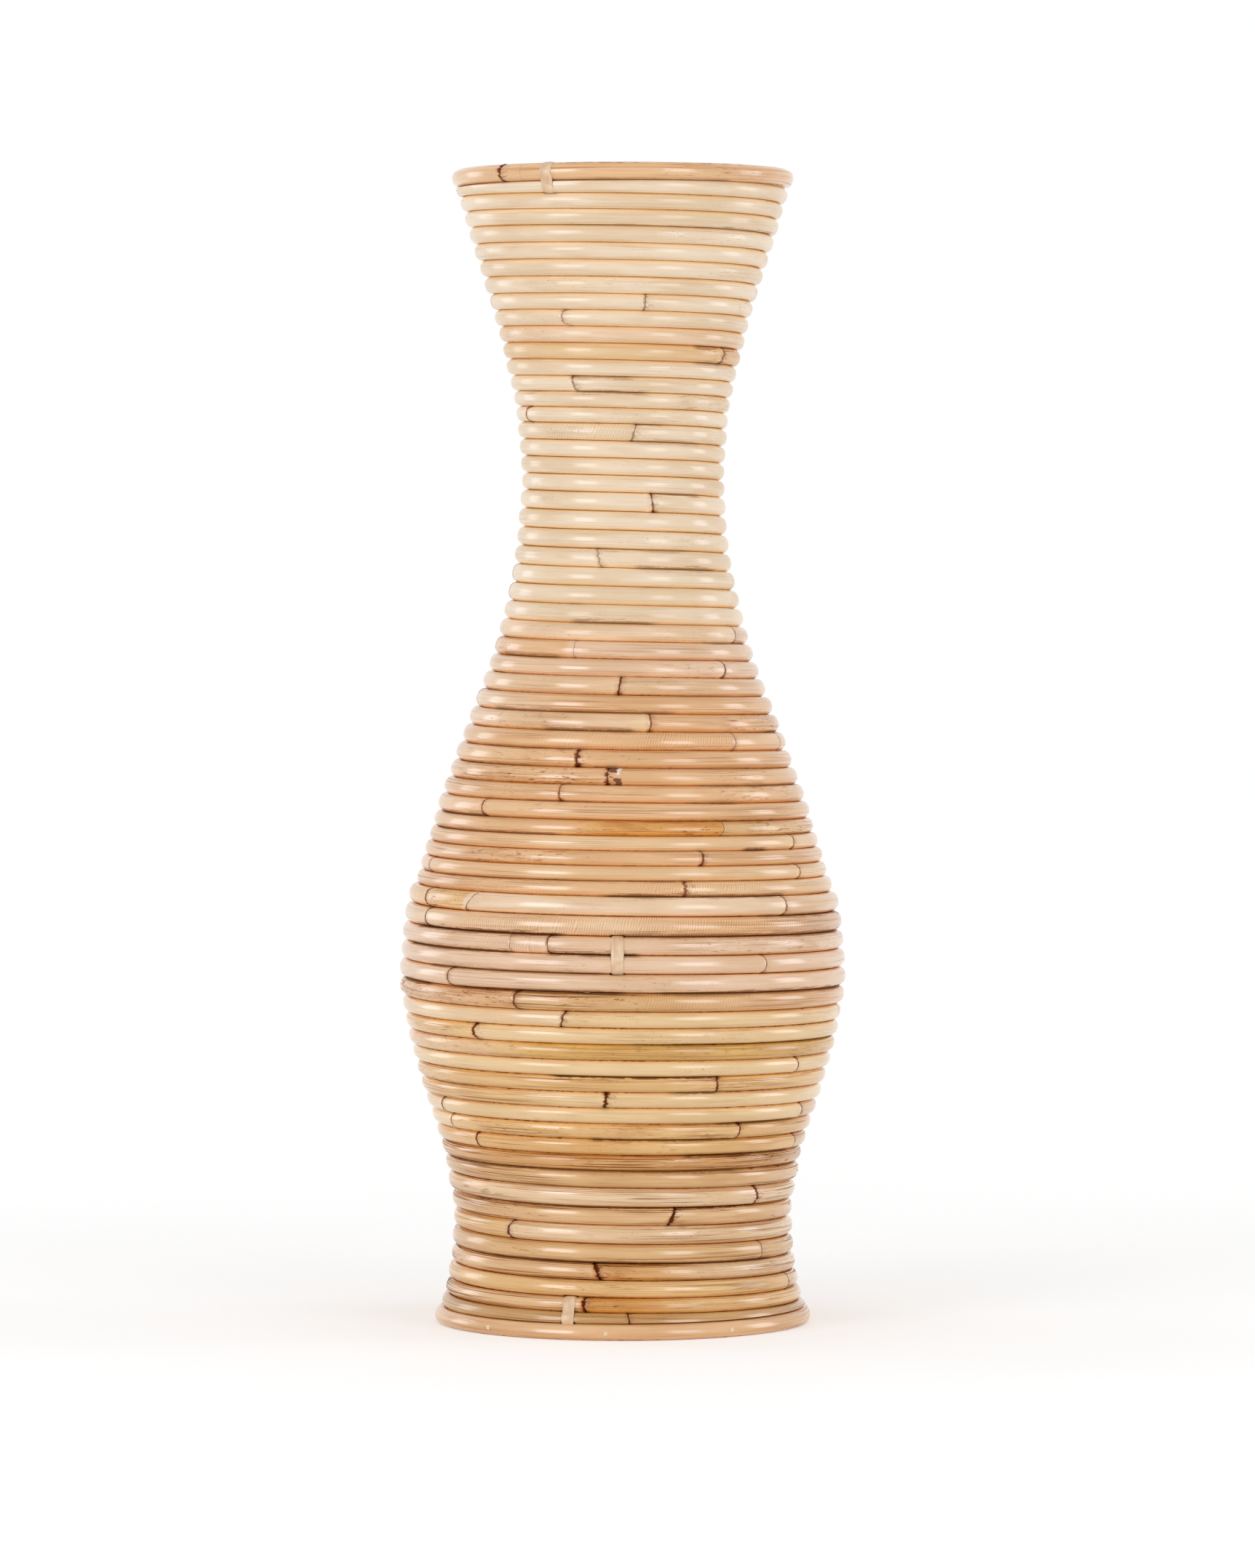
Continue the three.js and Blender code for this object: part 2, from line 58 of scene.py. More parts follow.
class Nodes:
    """Places nodes in one shader tree and wires them, so that a finish reads as a list of steps."""

    def __init__(self, tree):
        self.tree = tree

    def feed(self, socket, value):
        """Wires a socket to what another node puts out, or sets it to a fixed value."""
        if isinstance(value, bpy.types.NodeSocket):
            self.tree.links.new(value, socket)
        else:
            socket.default_value = value

    def node(self, kind, inputs=(), **settings):
        made = self.tree.nodes.new("ShaderNode" + kind)
        for key, value in settings.items():
            setattr(made, key, value)
        for socket, value in dict(inputs).items():
            self.feed(made.inputs[socket], value)
        return made

    def math(self, operation, *values, clamp=False):
        return self.node("Math", dict(enumerate(values)), operation=operation, use_clamp=clamp).outputs[0]

    def times(self, first, second, clamp=False):
        return self.math("MULTIPLY", first, second, clamp=clamp)

    def scaled(self, value, factor, shift):
        return self.math("MULTIPLY_ADD", value, factor, shift)

    def most(self, first, second, clamp=False):
        return self.math("MAXIMUM", first, second, clamp=clamp)

    def rest(self, share):
        return self.math("SUBTRACT", 1.0, share)

    def size(self, value):
        return self.math("ABSOLUTE", value)

    def ramp(self, value, low, high):
        """0 at low, 1 at high, smooth between."""
        ends = {"Value": value, "From Min": low, "From Max": high}
        return self.node("MapRange", ends, interpolation_type="SMOOTHSTEP").outputs["Result"]

    def band(self, value, rise, fall):
        """1 between the rise and the fall, each given by where it starts and ends, and 0 outside them."""
        return self.times(self.ramp(value, *rise), self.rest(self.ramp(value, *fall)))

    def mix(self, share, first, second, blend="MIX"):
        mixed = self.node("Mix", {0: share, 6: first, 7: second}, data_type="RGBA", blend_type=blend)
        return mixed.outputs[2]

    def tinted(self, colour, red, green, blue):
        return self.mix(1.0, colour, (red, green, blue, 1), "MULTIPLY")

    def noise(self, space, scale, shift, detail, rough):
        """Uneven patches from 0 to 1, finer in a direction that has a larger scale."""
        spot = self.node("Mapping", {"Vector": space, "Scale": scale, "Location": shift}).outputs[0]
        grain = {"Vector": spot, "Scale": 1.0, "Detail": detail, "Roughness": rough}
        return self.node("TexNoise", grain).outputs[0]

    def split(self, vector):
        return self.node("SeparateXYZ", {"Vector": vector}).outputs

    def carried(self, title):
        """What the points of a piece carry under this title."""
        return self.node("Attribute", attribute_name=title).outputs

    def bump(self, height, distance, strength):
        return self.node("Bump", {"Height": height, "Distance": distance, "Strength": strength}).outputs[0]


def new_material(name):
    """A material, with what places its nodes and the inputs of its shader."""
    material = bpy.data.materials.new(name)
    material.use_nodes = True
    return material, Nodes(material.node_tree), material.node_tree.nodes["Principled BSDF"].inputs


# The paint glows for the camera and in reflections only, and more so far from the vase, where it is white.
floor_paint, nodes, paint = new_material("studio floor, white paint")
floor_place = nodes.node("TexCoord").outputs["Object"]
from_vase = nodes.node("VectorMath", {0: floor_place}, operation="LENGTH").outputs["Value"]
seen = nodes.node("LightPath").outputs
fading = {"Value": from_vase, "From Min": 0.3, "From Max": 2.4, "To Min": 0.27, "To Max": 0.45}
glow = nodes.node("MapRange", fading).outputs["Result"]
nodes.feed(paint["Base Color"], (0.86, 0.86, 0.86, 1))
nodes.feed(paint["Roughness"], 0.8)
nodes.feed(paint["Specular IOR Level"], 0.1)
nodes.feed(paint["Emission Strength"], glow)
nodes.feed(paint["Emission Color"], nodes.most(seen["Is Camera Ray"], seen["Is Glossy Ray"]))

FLOOR_SIZE = 14
bpy.ops.mesh.primitive_plane_add(size=FLOOR_SIZE)
floor = bpy.context.object
floor.name = "studio_floor"
floor.data.materials.append(floor_paint)

# The room lights the vase softly. The camera, and what the lacquer mirrors, see it white.
room = bpy.data.worlds.new("studio room")
room.use_nodes = True
nodes = Nodes(room.node_tree)
soft = room.node_tree.nodes["Background"]
nodes.feed(soft.inputs["Color"], (1, 0.985, 0.965, 1))
nodes.feed(soft.inputs["Strength"], 0.67)
white = nodes.node("Background", {"Color": (1, 1, 1, 1)})
seen = nodes.node("LightPath").outputs
seen_white = nodes.most(seen["Is Camera Ray"], seen["Is Glossy Ray"])
seen_white = nodes.most(seen_white, seen["Is Transmission Ray"])
either = nodes.node("MixShader", {0: seen_white, 1: soft.outputs[0], 2: white.outputs[0]})
nodes.feed(room.node_tree.nodes["World Output"].inputs["Surface"], either.outputs[0])
bpy.context.scene.world = room

LAMP_REACH = 2.3
LAMP_HEIGHT = 0.62
LAMP_TALL = 1.2
LAMP_TINT = (0.94, 1, 1.1)
LAMP_AIM = Vector((0, 0, 0.3))


def softbox(name, degrees, wide, watts):
    """A soft lamp, so many degrees right of the camera, aimed at the middle of the vase."""
    turn = math.radians(degrees)
    stand = Vector((LAMP_REACH * math.sin(turn), -LAMP_REACH * math.cos(turn), LAMP_HEIGHT))
    bpy.ops.object.light_add(type="AREA", location=stand)
    lamp = bpy.context.object
    lamp.name = name
    lamp.rotation_euler = (LAMP_AIM - stand).to_track_quat("-Z", "Y").to_euler()
    lamp.data.shape = "RECTANGLE"
    lamp.data.size = wide
    lamp.data.size_y = LAMP_TALL
    lamp.data.energy = watts
    lamp.data.color = LAMP_TINT


softbox("front_left_softbox", -43, 1.0, 16)
softbox("front_right_softbox", 39, 0.9, 10)
softbox("right_softbox", 96, 0.8, 9)
softbox("left_softbox", -118, 0.8, 6)


# Base hoop
# One cane bent to a level ring, its ends butted at the back and its underside sanded flat to stand on.
# Every cane of the vase is round rattan with its skin left on, in clear lacquer, so the way to lay a cane
# and to finish it is set out here.
MM = 0.001
HOOP_ROW = 8.8 * MM
HOOP_RADIUS = HOOP_ROW / 2
SLIT = 0.84 * MM
FOOT_CUT = 0.9 * MM
BASE_JOINT = 150
BASE_TIE_DEGREES = -17.3

# Half the width of a hoop's CAD solid, which is six-sided and a slit thinner than its row
inset = (HOOP_ROW - SLIT) / 2 / math.cos(math.pi / 6)

# The wall's centre line as radius and height, from the middle of the base hoop to that of the rim hoop
foot = (98 * MM - inset, inset - FOOT_CUT)
waist = (87.4 * MM - inset, 56 * MM)
belly = (115.8 * MM - inset, 180 * MM)
neck = (52.7 * MM - inset, 434.5 * MM)
rim = (89 * MM - inset, 600 * MM - inset)


def pull(start, end, leave, arrive, flare_start=0, flare_end=0):
    """One smooth stretch of the wall between two of its places.

    leave and arrive: for what share of the rise it keeps its first and its last direction.
    flare_start and flare_end: how far these directions lean from upright, in degrees.
    """
    rise = end[1] - start[1]
    first = (start[0] - rise * leave * math.tan(math.radians(flare_start)), start[1] + rise * leave)
    second = (end[0] - rise * arrive * math.tan(math.radians(flare_end)), end[1] - rise * arrive)
    share = np.linspace(0, 1, 1200)[:, None]
    corners = [np.array(point) for point in (start, first, second, end)]
    weights = [(1 - share) ** 3, 3 * share * (1 - share) ** 2, 3 * share**2 * (1 - share), share**3]
    return sum(weight * corner for weight, corner in zip(weights, corners))


wall = np.vstack([
    pull(foot, waist, 0.3, 0.32, 21, 0),
    pull(waist, belly, 0.26, 0.33)[1:],
    pull(belly, neck, 0.33, 0.39)[1:],
    pull(neck, rim, 0.39, 0.13, 0, 15)[1:],
])
wall_steps = np.hypot(*np.diff(wall, axis=0).T)
wall_distance = np.concatenate([[0], np.cumsum(wall_steps)])
WALL_LENGTH = wall_distance[-1]
upward = np.gradient(wall, wall_distance, axis=0)
upward /= np.hypot(*upward.T)[:, None]


def wall_at(distance):
    """Radius and height of the wall's centre line, and the radius and height parts of its outward side."""
    return (
        np.interp(distance, wall_distance, wall[:, 0]),
        np.interp(distance, wall_distance, wall[:, 1]),
        np.interp(distance, wall_distance, upward[:, 1]),
        -np.interp(distance, wall_distance, upward[:, 0]),
    )


def hoop_course(distance, joint_degrees):
    """The course of a level hoop, as columns over the length of its cane, once round from its joint."""
    angle = np.radians(joint_degrees) - np.linspace(0, 2 * math.pi, 361)
    radius, height, out_r, out_z = wall_at(distance)
    one = np.ones_like(angle)
    return {
        "along": radius * (angle[0] - angle),
        "angle": angle,
        "radius": radius * one,
        "height": height * one,
        "out_r": out_r * one,
        "out_z": out_z * one,
        "thick": HOOP_RADIUS * one,
        "low": -one,
        "high": one,
    }


# How a cane is cut up into rings of points: evenly, and closer at its ends, its scars and its ties
SIDES = 20
RING_PITCH = 3.8 * MM
RING_ROOM = 1.2 * MM
RING_LEAST = 0.08 * MM
END_RINGS = np.array([0, 0.15, 0.45, 1.0]) * MM
SCAR_RINGS = np.array([-4.5, -2.6, -1.4, -0.7, -0.3, 0, 0.3, 0.7, 1.4, 2.6, 4.5]) * MM
TIE_RINGS = np.array([-4, -3.5, 3.5, 4]) * MM
HAIR = 1e-9
FAR = 1e3


def ring_places(start, end, scars, presses):
    """Where along a cane its rings of points go."""
    fixed = [start + END_RINGS, end - END_RINGS]
    fixed += [scar[0] + SCAR_RINGS for scar in scars]
    fixed += [place + TIE_RINGS for place, side in presses]
    fixed = np.sort(np.concatenate(fixed))
    fixed = fixed[(fixed >= start - HAIR) & (fixed <= end + HAIR)]
    fixed = fixed[np.concatenate([[True], np.diff(fixed) > RING_LEAST])]
    even = np.linspace(start, end, max(4, round((end - start) / RING_PITCH)))
    room_left = np.abs(even[:, None] - fixed[None, :]).min(axis=1)
    rings = np.sort(np.concatenate([fixed, even[room_left > RING_ROOM]]))
    rings[0], rings[-1] = start, end
    return rings


def wrap_faces(rings, sides, looped=False):
    """Faces from each ring of points to the next. Both ends are closed, unless the piece is looped."""
    starts = range(0, rings * sides, sides)
    following = [*starts[1:], *starts[:1]] if looped else starts[1:]
    faces = [
        (here + side, here + (side + 1) % sides, there + (side + 1) % sides, there + side)
        for here, there in zip(starts, following)
        for side in range(sides)
    ]
    if not looped:
        faces.append(tuple(range(sides))[::-1])
        faces.append(tuple(starts[-1] + side for side in range(sides)))
    return faces


def make_piece(name, points, faces, smooth_below, **carried):
    """A piece at the origin, its faces outwards, smooth but for edges that turn by more than smooth_below.

    carried: what each point carries for the finish to read, three numbers or, for a colour, four.
    """
    mesh = bpy.data.meshes.new(name)
    mesh.from_pydata(np.reshape(points, (-1, 3)).tolist(), [], faces)
    for title, numbers in carried.items():
        numbers = np.asarray(numbers, dtype=np.float32)
        kind, field = ("FLOAT_COLOR", "color") if numbers.shape[-1] == 4 else ("FLOAT_VECTOR", "vector")
        mesh.attributes.new(title, kind, "POINT").data.foreach_set(field, numbers.ravel())
    piece = bpy.data.objects.new(name, mesh)
    bpy.context.scene.collection.objects.link(piece)
    bpy.ops.object.select_all(action="DESELECT")
    piece.select_set(True)
    bpy.context.view_layer.objects.active = piece
    bpy.ops.object.mode_set(mode="EDIT")
    bpy.ops.mesh.select_all(action="SELECT")
    bpy.ops.mesh.normals_make_consistent(inside=False)
    bpy.ops.object.mode_set(mode="OBJECT")
    bpy.ops.object.shade_smooth_by_angle(angle=math.radians(smooth_below))
    return piece


def wave(along, seed, length):
    """A slow uneven wave between -1 and 1 along a cane, different for each seed."""
    phase = 2.399 * seed
    return (
        0.5 * np.sin(2 * math.pi * along / length + phase)
        + 0.3 * np.sin(2 * math.pi * along / (0.43 * length) + 1.7 * phase)
        + 0.2 * np.sin(2 * math.pi * along / (0.21 * length) + 2.9 * phase)
    )


# How round a cane is, what its ends and its leaf scars do to its thickness, and how a tie presses it
SQUARENESS = 0.86
END_GAP = 0.16 * MM
END_CUT = 0.3 * MM
END_CUT_LENGTH = 0.8 * MM
SCAR_REACH = 22 * MM
SCAR_NOTCH = 0.18 * MM
SCAR_SWELLING = 0.14 * MM
INK_REACH = 9 * MM
SWAY = 0.22 * MM
TIE_HALF = 3.8 * MM
TIE_SQUEEZE = 0.5 * MM
NO_SCAR = (FAR, 0, 0, 0, 0)
WEAR_KINDS = ("ripple", "upper", "lower", "blotch")
WEAR_FADE = 4 * MM
# How far the pattern of one cane's skin is shifted from the next one's, in metres
GRAIN_SHIFT = 3.7


def lay_cane(name, course, start, end, seed, scars, tones, wears, presses=()):
    """A cane laid along its course between two places. Its rings lean and bow with each leaf scar.

    scars: rows of place, lean, bow, ink, rough. tones: rows of place, red, green, blue, streaks.
    wears: rows of from, to, kind, strength. presses: places and sides, -1 below and 1 above, under a tie.
    """
    start += END_GAP / 2
    end -= END_GAP / 2
    near = [scar for scar in scars if start - SCAR_REACH < scar[0] < end + SCAR_REACH]
    scars = np.array(near or [NO_SCAR])
    rings = ring_places(start, end, scars, presses)
    around = np.arange(SIDES) * 2 * math.pi / SIDES

    # Each ring belongs to its nearest scar, and turns and bends as much as the scars close by do.
    to_scars = rings[:, None] - scars[:, 0]
    nearest = np.abs(to_scars).argmin(axis=1)
    off = rings - scars[nearest, 0]
    ink = scars[nearest, 3] * np.clip(1.6 - np.abs(off) / INK_REACH, 0, 1)
    rough = scars[nearest, 4]
    close = np.clip(1 - np.abs(to_scars) / SCAR_REACH, 0, 1)
    close = close * close * (3 - 2 * close)
    lean = (close * scars[:, 1]).sum(axis=1)[:, None]
    bow = (close * scars[:, 2]).sum(axis=1)[:, None]
    place = rings[:, None] - 0.5 * lean * np.sin(around) + bow * (np.cos(around) - 0.6)
    at = {key: np.interp(place, course["along"], column) for key, column in course.items()}

    # The cane narrows to a notch at a scar, swells just after it, and is chamfered at both ends.
    notch = np.exp(-((off / (0.45 * MM)) ** 2)) + 0.35 * np.exp(-(((off + 1.2 * MM) / (0.8 * MM)) ** 2))
    swelling = np.exp(-(((off - 1.6 * MM) / (1.5 * MM)) ** 2))
    at_scar = (SCAR_SWELLING * swelling - SCAR_NOTCH * notch) * np.clip(ink * 1.4, 0.25, 1)
    from_end = np.clip(np.minimum(rings - start, end - rings) / END_CUT_LENGTH, 0, 1)
    at_end = -END_CUT * (1 - from_end) ** 2
    thick = at["thick"] * (0.995 - 0.005 * wave(rings, seed, 0.37)[:, None]) + (at_scar + at_end)[:, None]

    # Its section is a round, a little squared, cut flat where a hoop's bed or a tie presses it.
    out = thick * np.sign(np.cos(around)) * np.abs(np.cos(around)) ** SQUARENESS
    up = thick * np.sign(np.sin(around)) * np.abs(np.sin(around)) ** SQUARENESS
    low = np.maximum(at["low"], -thick)
    high = np.minimum(at["high"], thick)
    for middle, side in presses:
        squeezed = (np.abs(rings - middle) < TIE_HALF)[:, None]
        low = np.where(squeezed & (side < 0), low + TIE_SQUEEZE, low)
        high = np.where(squeezed & (side > 0), high - TIE_SQUEEZE, high)
    up = np.clip(up, low, high)
    out = out + SWAY * wave(rings, seed + 5, 0.29)[:, None]
    radius = at["radius"] + out * at["out_r"] - up * at["out_z"]
    height = np.maximum(at["height"] + out * at["out_z"] + up * at["out_r"], 0)
    points = np.stack([radius * np.sin(at["angle"]), -radius * np.cos(at["angle"]), height], axis=-1)

    # What the finish reads at each point: its grain, its nearest scar, its tone and its wear
    worn = {kind: np.zeros(len(rings)) for kind in WEAR_KINDS}
    for begin, finish, kind, strength in wears:
        edge = np.minimum(rings - begin, finish - rings) / WEAR_FADE
        worn[kind] = np.maximum(worn[kind], strength * np.clip(edge + 0.5, 0, 1))
    tones = np.array(tones)
    columns = {
        "grain": [(rings + GRAIN_SHIFT * seed)[:, None], np.cos(around), np.sin(around)],
        "scar": [off[:, None], ink[:, None], rough[:, None]],
        "tone": [np.interp(rings, tones[:, 0], tones[:, part])[:, None] for part in (1, 2, 3, 4)],
        "wear": [worn[kind][:, None] for kind in WEAR_KINDS],
    }
    carried = {
        title: np.stack([np.broadcast_to(column, radius.shape) for column in parts], axis=-1)
        for title, parts in columns.items()
    }
    return make_piece(name, points, wrap_faces(len(rings), SIDES), 50, **carried)


def linear(red, green, blue):
    """A colour as a screen shows it, 0 to 255, in linear light."""
    return tuple(((part / 255 + 0.055) / 1.055) ** 2.4 for part in (red, green, blue))


# Colours that rattan takes as it dries and is lacquered, each with how strongly it is streaked
TONES = {
    "pale": (*linear(232, 208, 177), 0.06),
    "cream": (*linear(231, 199, 164), 0.1),
    "wheat": (*linear(230, 197, 152), 0.15),
    "buff": (*linear(226, 188, 147), 0.2),
    "blush": (*linear(226, 189, 154), 0.2),
    "tan": (*linear(223, 176, 125), 0.35),
    "amber": (*linear(213, 150, 62), 0.3),
    "straw": (*linear(229, 194, 141), 0.15),
    "honey": (*linear(227, 183, 119), 0.5),
    "toffee": (*linear(215, 170, 112), 0.7),
    "reed": (*linear(214, 166, 84), 0.3),
    "streaked": (*linear(220, 176, 122), 1.0),
    "smoked": (*linear(214, 160, 92), 1.0),
    "drab": (*linear(195, 148, 84), 0.4),
    "light": (*linear(228, 193, 150), 0.6),
    "sand": (*linear(228, 188, 139), 0.2),
    "rosy": (*linear(211, 165, 122), 0.25),
    "caramel": (*linear(224, 176, 108), 0.5),
}


def new_group(name, inputs, outputs):
    """A shader node group. Each socket is a name, a kind and, for an input, the value it starts with."""
    tree = bpy.data.node_groups.new(name, "ShaderNodeTree")
    for title, kind, value in inputs:
        socket = tree.interface.new_socket(name=title, in_out="INPUT", socket_type="NodeSocket" + kind)
        socket.default_value = value
    for title, kind in outputs:
        tree.interface.new_socket(name=title, in_out="OUTPUT", socket_type="NodeSocket" + kind)
    given = tree.nodes.new("NodeGroupInput").outputs
    result = tree.nodes.new("NodeGroupOutput").inputs
    return tree, Nodes(tree), given, result


# A point's grain is how far along the cane it is, and how far outward and upward it lies, from -1 to 1.
# Multiplied by this, all three are in metres, so a pattern keeps its scale along the cane and round it.
GRAIN_TO_METRES = (1, 4.5 * MM, 4.5 * MM)

# Rattan skin: fine long fibres, dark streaks, short dashes and slow clouds of colour, all along the cane
skin_tree, nodes, given, result = new_group(
    "rattan skin",
    [("Tone", "Color", (0.8, 0.6, 0.4, 1)), ("Streaks", "Float", 0.2)],
    [("Color", "Color"), ("Height", "Float"), ("Dull", "Float")],
)
tone = given["Tone"]
streaky = given["Streaks"]
grain_at = nodes.carried("grain")["Vector"]
cane_space = nodes.node("Mapping", {"Vector": grain_at, "Scale": GRAIN_TO_METRES}).outputs[0]
from_middle = nodes.size(nodes.split(grain_at)[2])

clouds = nodes.noise(cane_space, (20, 110, 110), (5, 9, 1), 3, 0.55)
dark_cloud = nodes.tinted(tone, 0.93, 0.88, 0.8)
light_cloud = nodes.tinted(tone, 1.03, 1.04, 1.06)
colour = nodes.mix(nodes.ramp(clouds, 0.36, 0.62), dark_cloud, light_cloud)
stains = nodes.noise(cane_space, (24, 150, 150), (12, 3, 6), 2, 0.5)
stained = nodes.times(nodes.ramp(stains, 0.6, 0.68), nodes.scaled(streaky, 0.5, 0.12))
colour = nodes.mix(stained, colour, nodes.tinted(tone, 0.9, 0.74, 0.5))
fibres = nodes.noise(cane_space, (26, 1300, 1300), (0, 0, 0), 3, 0.6)
fibrous = nodes.times(nodes.ramp(fibres, 0.48, 0.7), nodes.scaled(streaky, 0.4, 0.14))
colour = nodes.mix(fibrous, colour, nodes.tinted(tone, 0.74, 0.58, 0.42))

# Streaks run in zones, and are closest near the edges of a row, where the sanding did not reach.
zones = nodes.noise(cane_space, (9, 60, 60), (2, 4, 8), 2, 0.5)
in_zone = nodes.ramp(nodes.scaled(nodes.ramp(from_middle, 0.2, 0.85), 0.2, zones), 0.42, 0.57)
smudges = nodes.noise(cane_space, (9, 950, 950), (3, 1, 7), 3, 0.65)
smudge = nodes.times(nodes.ramp(smudges, 0.5, 0.62), nodes.times(in_zone, streaky), clamp=True)
colour = nodes.mix(smudge, colour, nodes.tinted(tone, 0.62, 0.45, 0.3))
streaks = nodes.noise(cane_space, (13, 1700, 1700), (8, 3, 1), 2, 0.6)
streak_share = nodes.times(in_zone, nodes.scaled(streaky, 0.95, 0.1))
streak = nodes.times(nodes.ramp(streaks, 0.56, 0.61), streak_share, clamp=True)
colour = nodes.mix(streak, colour, nodes.tinted(tone, 0.3, 0.16, 0.07))

# Short dashes and specks, in patches
dash_zone = nodes.ramp(nodes.noise(cane_space, (12, 40, 40), (7, 7, 7), 1, 0.5), 0.5, 0.66)
dashes = nodes.noise(cane_space, (85, 1500, 1500), (11, 5, 2), 2, 0.5)
dash_share = nodes.times(dash_zone, nodes.scaled(streaky, 0.65, 0.2))
dash = nodes.times(nodes.ramp(dashes, 0.62, 0.68), dash_share)
colour = nodes.mix(dash, colour, nodes.tinted(tone, 0.35, 0.19, 0.1))
specks = nodes.noise(cane_space, (900, 1500, 1500), (1, 8, 3), 1, 0.4)
speck = nodes.times(nodes.ramp(specks, 0.71, 0.75), nodes.times(dash_zone, 0.6))
colour = nodes.mix(speck, colour, nodes.tinted(tone, 0.35, 0.2, 0.12))

mark = nodes.most(dash, speck)
relief = nodes.scaled(fibres, 0.05, nodes.times(streak, -0.05))
nodes.feed(result["Color"], colour)
nodes.feed(result["Height"], nodes.scaled(mark, -0.06, relief))
nodes.feed(result["Dull"], nodes.most(nodes.most(mark, streak), nodes.times(smudge, 0.5), clamp=True))

# Marks of growth and handling: leaf scars and butt joints, cross ripples, blotches, dirt in the grooves
marks_tree, nodes, given, result = new_group(
    "rattan marks",
    [
        ("Color", "Color", (0.8, 0.6, 0.4, 1)),
        ("Grime and shade", "Float", 0.3),
        ("Height", "Float", 0.0),
        ("Dull", "Float", 0.0),
    ],
    [("Color", "Color"), ("Height", "Float"), ("Dull", "Float")],
)
colour = given["Color"]
grime_and_shade = given["Grime and shade"]
grain_at = nodes.carried("grain")["Vector"]
cane_space = nodes.node("Mapping", {"Vector": grain_at, "Scale": GRAIN_TO_METRES}).outputs[0]
along, outward, up = nodes.split(grain_at)
from_middle = nodes.size(up)
off_scar, ink, scar_rough = nodes.split(nodes.carried("scar")["Vector"])
wear_at = nodes.carried("wear")
ripple_wear, upper_wear, lower_wear = nodes.node("SeparateColor", {"Color": wear_at["Color"]}).outputs
blotch_wear = wear_at["Alpha"]

cloud = nodes.noise(cane_space, (60, 300, 300), (1, 2, 3), 3, 0.6)
blotches = nodes.ramp(nodes.noise(cane_space, (45, 260, 260), (9, 2, 4), 4, 0.65), 0.48, 0.6)
blotch = nodes.times(blotches, nodes.times(blotch_wear, 0.75))
colour = nodes.mix(blotch, colour, nodes.tinted(colour, 0.78, 0.62, 0.38))
flecks = nodes.ramp(nodes.noise(cane_space, (170, 900, 900), (2, 9, 4), 3, 0.6), 0.6, 0.66)
fleck = nodes.times(flecks, blotch_wear)
colour = nodes.mix(fleck, colour, nodes.tinted(colour, 0.42, 0.22, 0.1))

# Ripples cross the cane about every 1.3 mm, slanted and uneven, where its skin wrinkled in bending.
RIPPLE_SLANT = 1.2 * MM
RIPPLES_A_METRE = 4700.0
slanted = nodes.scaled(up, RIPPLE_SLANT, along)
uneven = nodes.noise(cane_space, (130, 90, 90), (2, 2, 2), 2, 0.6)
ripples = nodes.math("SINE", nodes.scaled(slanted, RIPPLES_A_METRE, nodes.times(uneven, 18.0)))
rippled = nodes.times(ripple_wear, nodes.ramp(cloud, 0.3, 0.5))
ripple = nodes.times(nodes.ramp(ripples, -0.4, 0.8), rippled)
colour = nodes.mix(nodes.times(rippled, 0.5), colour, nodes.tinted(colour, 1.1, 1.12, 1.15))
colour = nodes.mix(nodes.times(ripple, 0.65), colour, nodes.tinted(colour, 0.73, 0.54, 0.32))

# Towards the grooves the colour is lighter and warmer, because two canes that touch light each other.
lit = nodes.mix(grime_and_shade, (1.25, 1.17, 0.95, 1), (1.23, 1.17, 1.1, 1))
colour = nodes.mix(nodes.ramp(from_middle, 0.5, 1.0), colour, nodes.mix(1.0, colour, lit, "MULTIPLY"))

# Where two rows touch the colour is darker everywhere: partly dirt settled there, partly painted contact
# shade.
# In worn stretches above and below are weighed apart, because a stain keeps to one edge.
ragged = nodes.math("SUBTRACT", nodes.noise(cane_space, (330, 330, 330), (8, 4, 9), 3, 0.65), 0.5)
up_edge = nodes.scaled(ragged, 0.35, up)
down_edge = nodes.scaled(ragged, 0.35, nodes.times(up, -1.0))
in_groove = nodes.ramp(nodes.most(up_edge, down_edge), 0.93, 1.0)
patchy = nodes.ramp(nodes.noise(cane_space, (30, 60, 60), (4, 4, 9), 3, 0.6), 0.42, 0.6)
# The darkening along every groove is partly settled dirt and partly painted contact shade.
groove_dirt_and_shade = nodes.times(in_groove, nodes.times(grime_and_shade, nodes.scaled(patchy, 0.7, 0.3)))
bars = nodes.noise(cane_space, (48, 1000, 1000), (5, 2, 6), 2, 0.55)
smear = nodes.scaled(nodes.ramp(bars, 0.42, 0.58), 0.35, nodes.scaled(cloud, 0.5, -0.15))
packed = []
for edge, amount in ((up_edge, upper_wear), (down_edge, lower_wear)):
    smeared = nodes.times(nodes.ramp(nodes.math("ADD", smear, edge), 0.98, 1.12), 0.7)
    solid = nodes.ramp(nodes.scaled(cloud, 0.2, edge), 0.92, 0.99)
    solid = nodes.times(solid, nodes.scaled(grime_and_shade, 0.4, 0.58))
    packed.append(nodes.times(nodes.most(smeared, solid), amount))
worn_edge = nodes.most(packed[0], packed[1])
# Settled dirt and painted contact shade darken the colour together here.
dirt_and_shade = nodes.most(worn_edge, groove_dirt_and_shade, clamp=True)
colour = nodes.mix(dirt_and_shade, colour, nodes.tinted(colour, 0.34, 0.16, 0.07))
# In worn stretches the very edge of the row is darker still, near black.
deep = nodes.times(nodes.times(worn_edge, grime_and_shade), nodes.ramp(from_middle, 0.76, 0.9))
colour = nodes.mix(deep, colour, nodes.tinted(colour, 0.2, 0.18, 0.16))
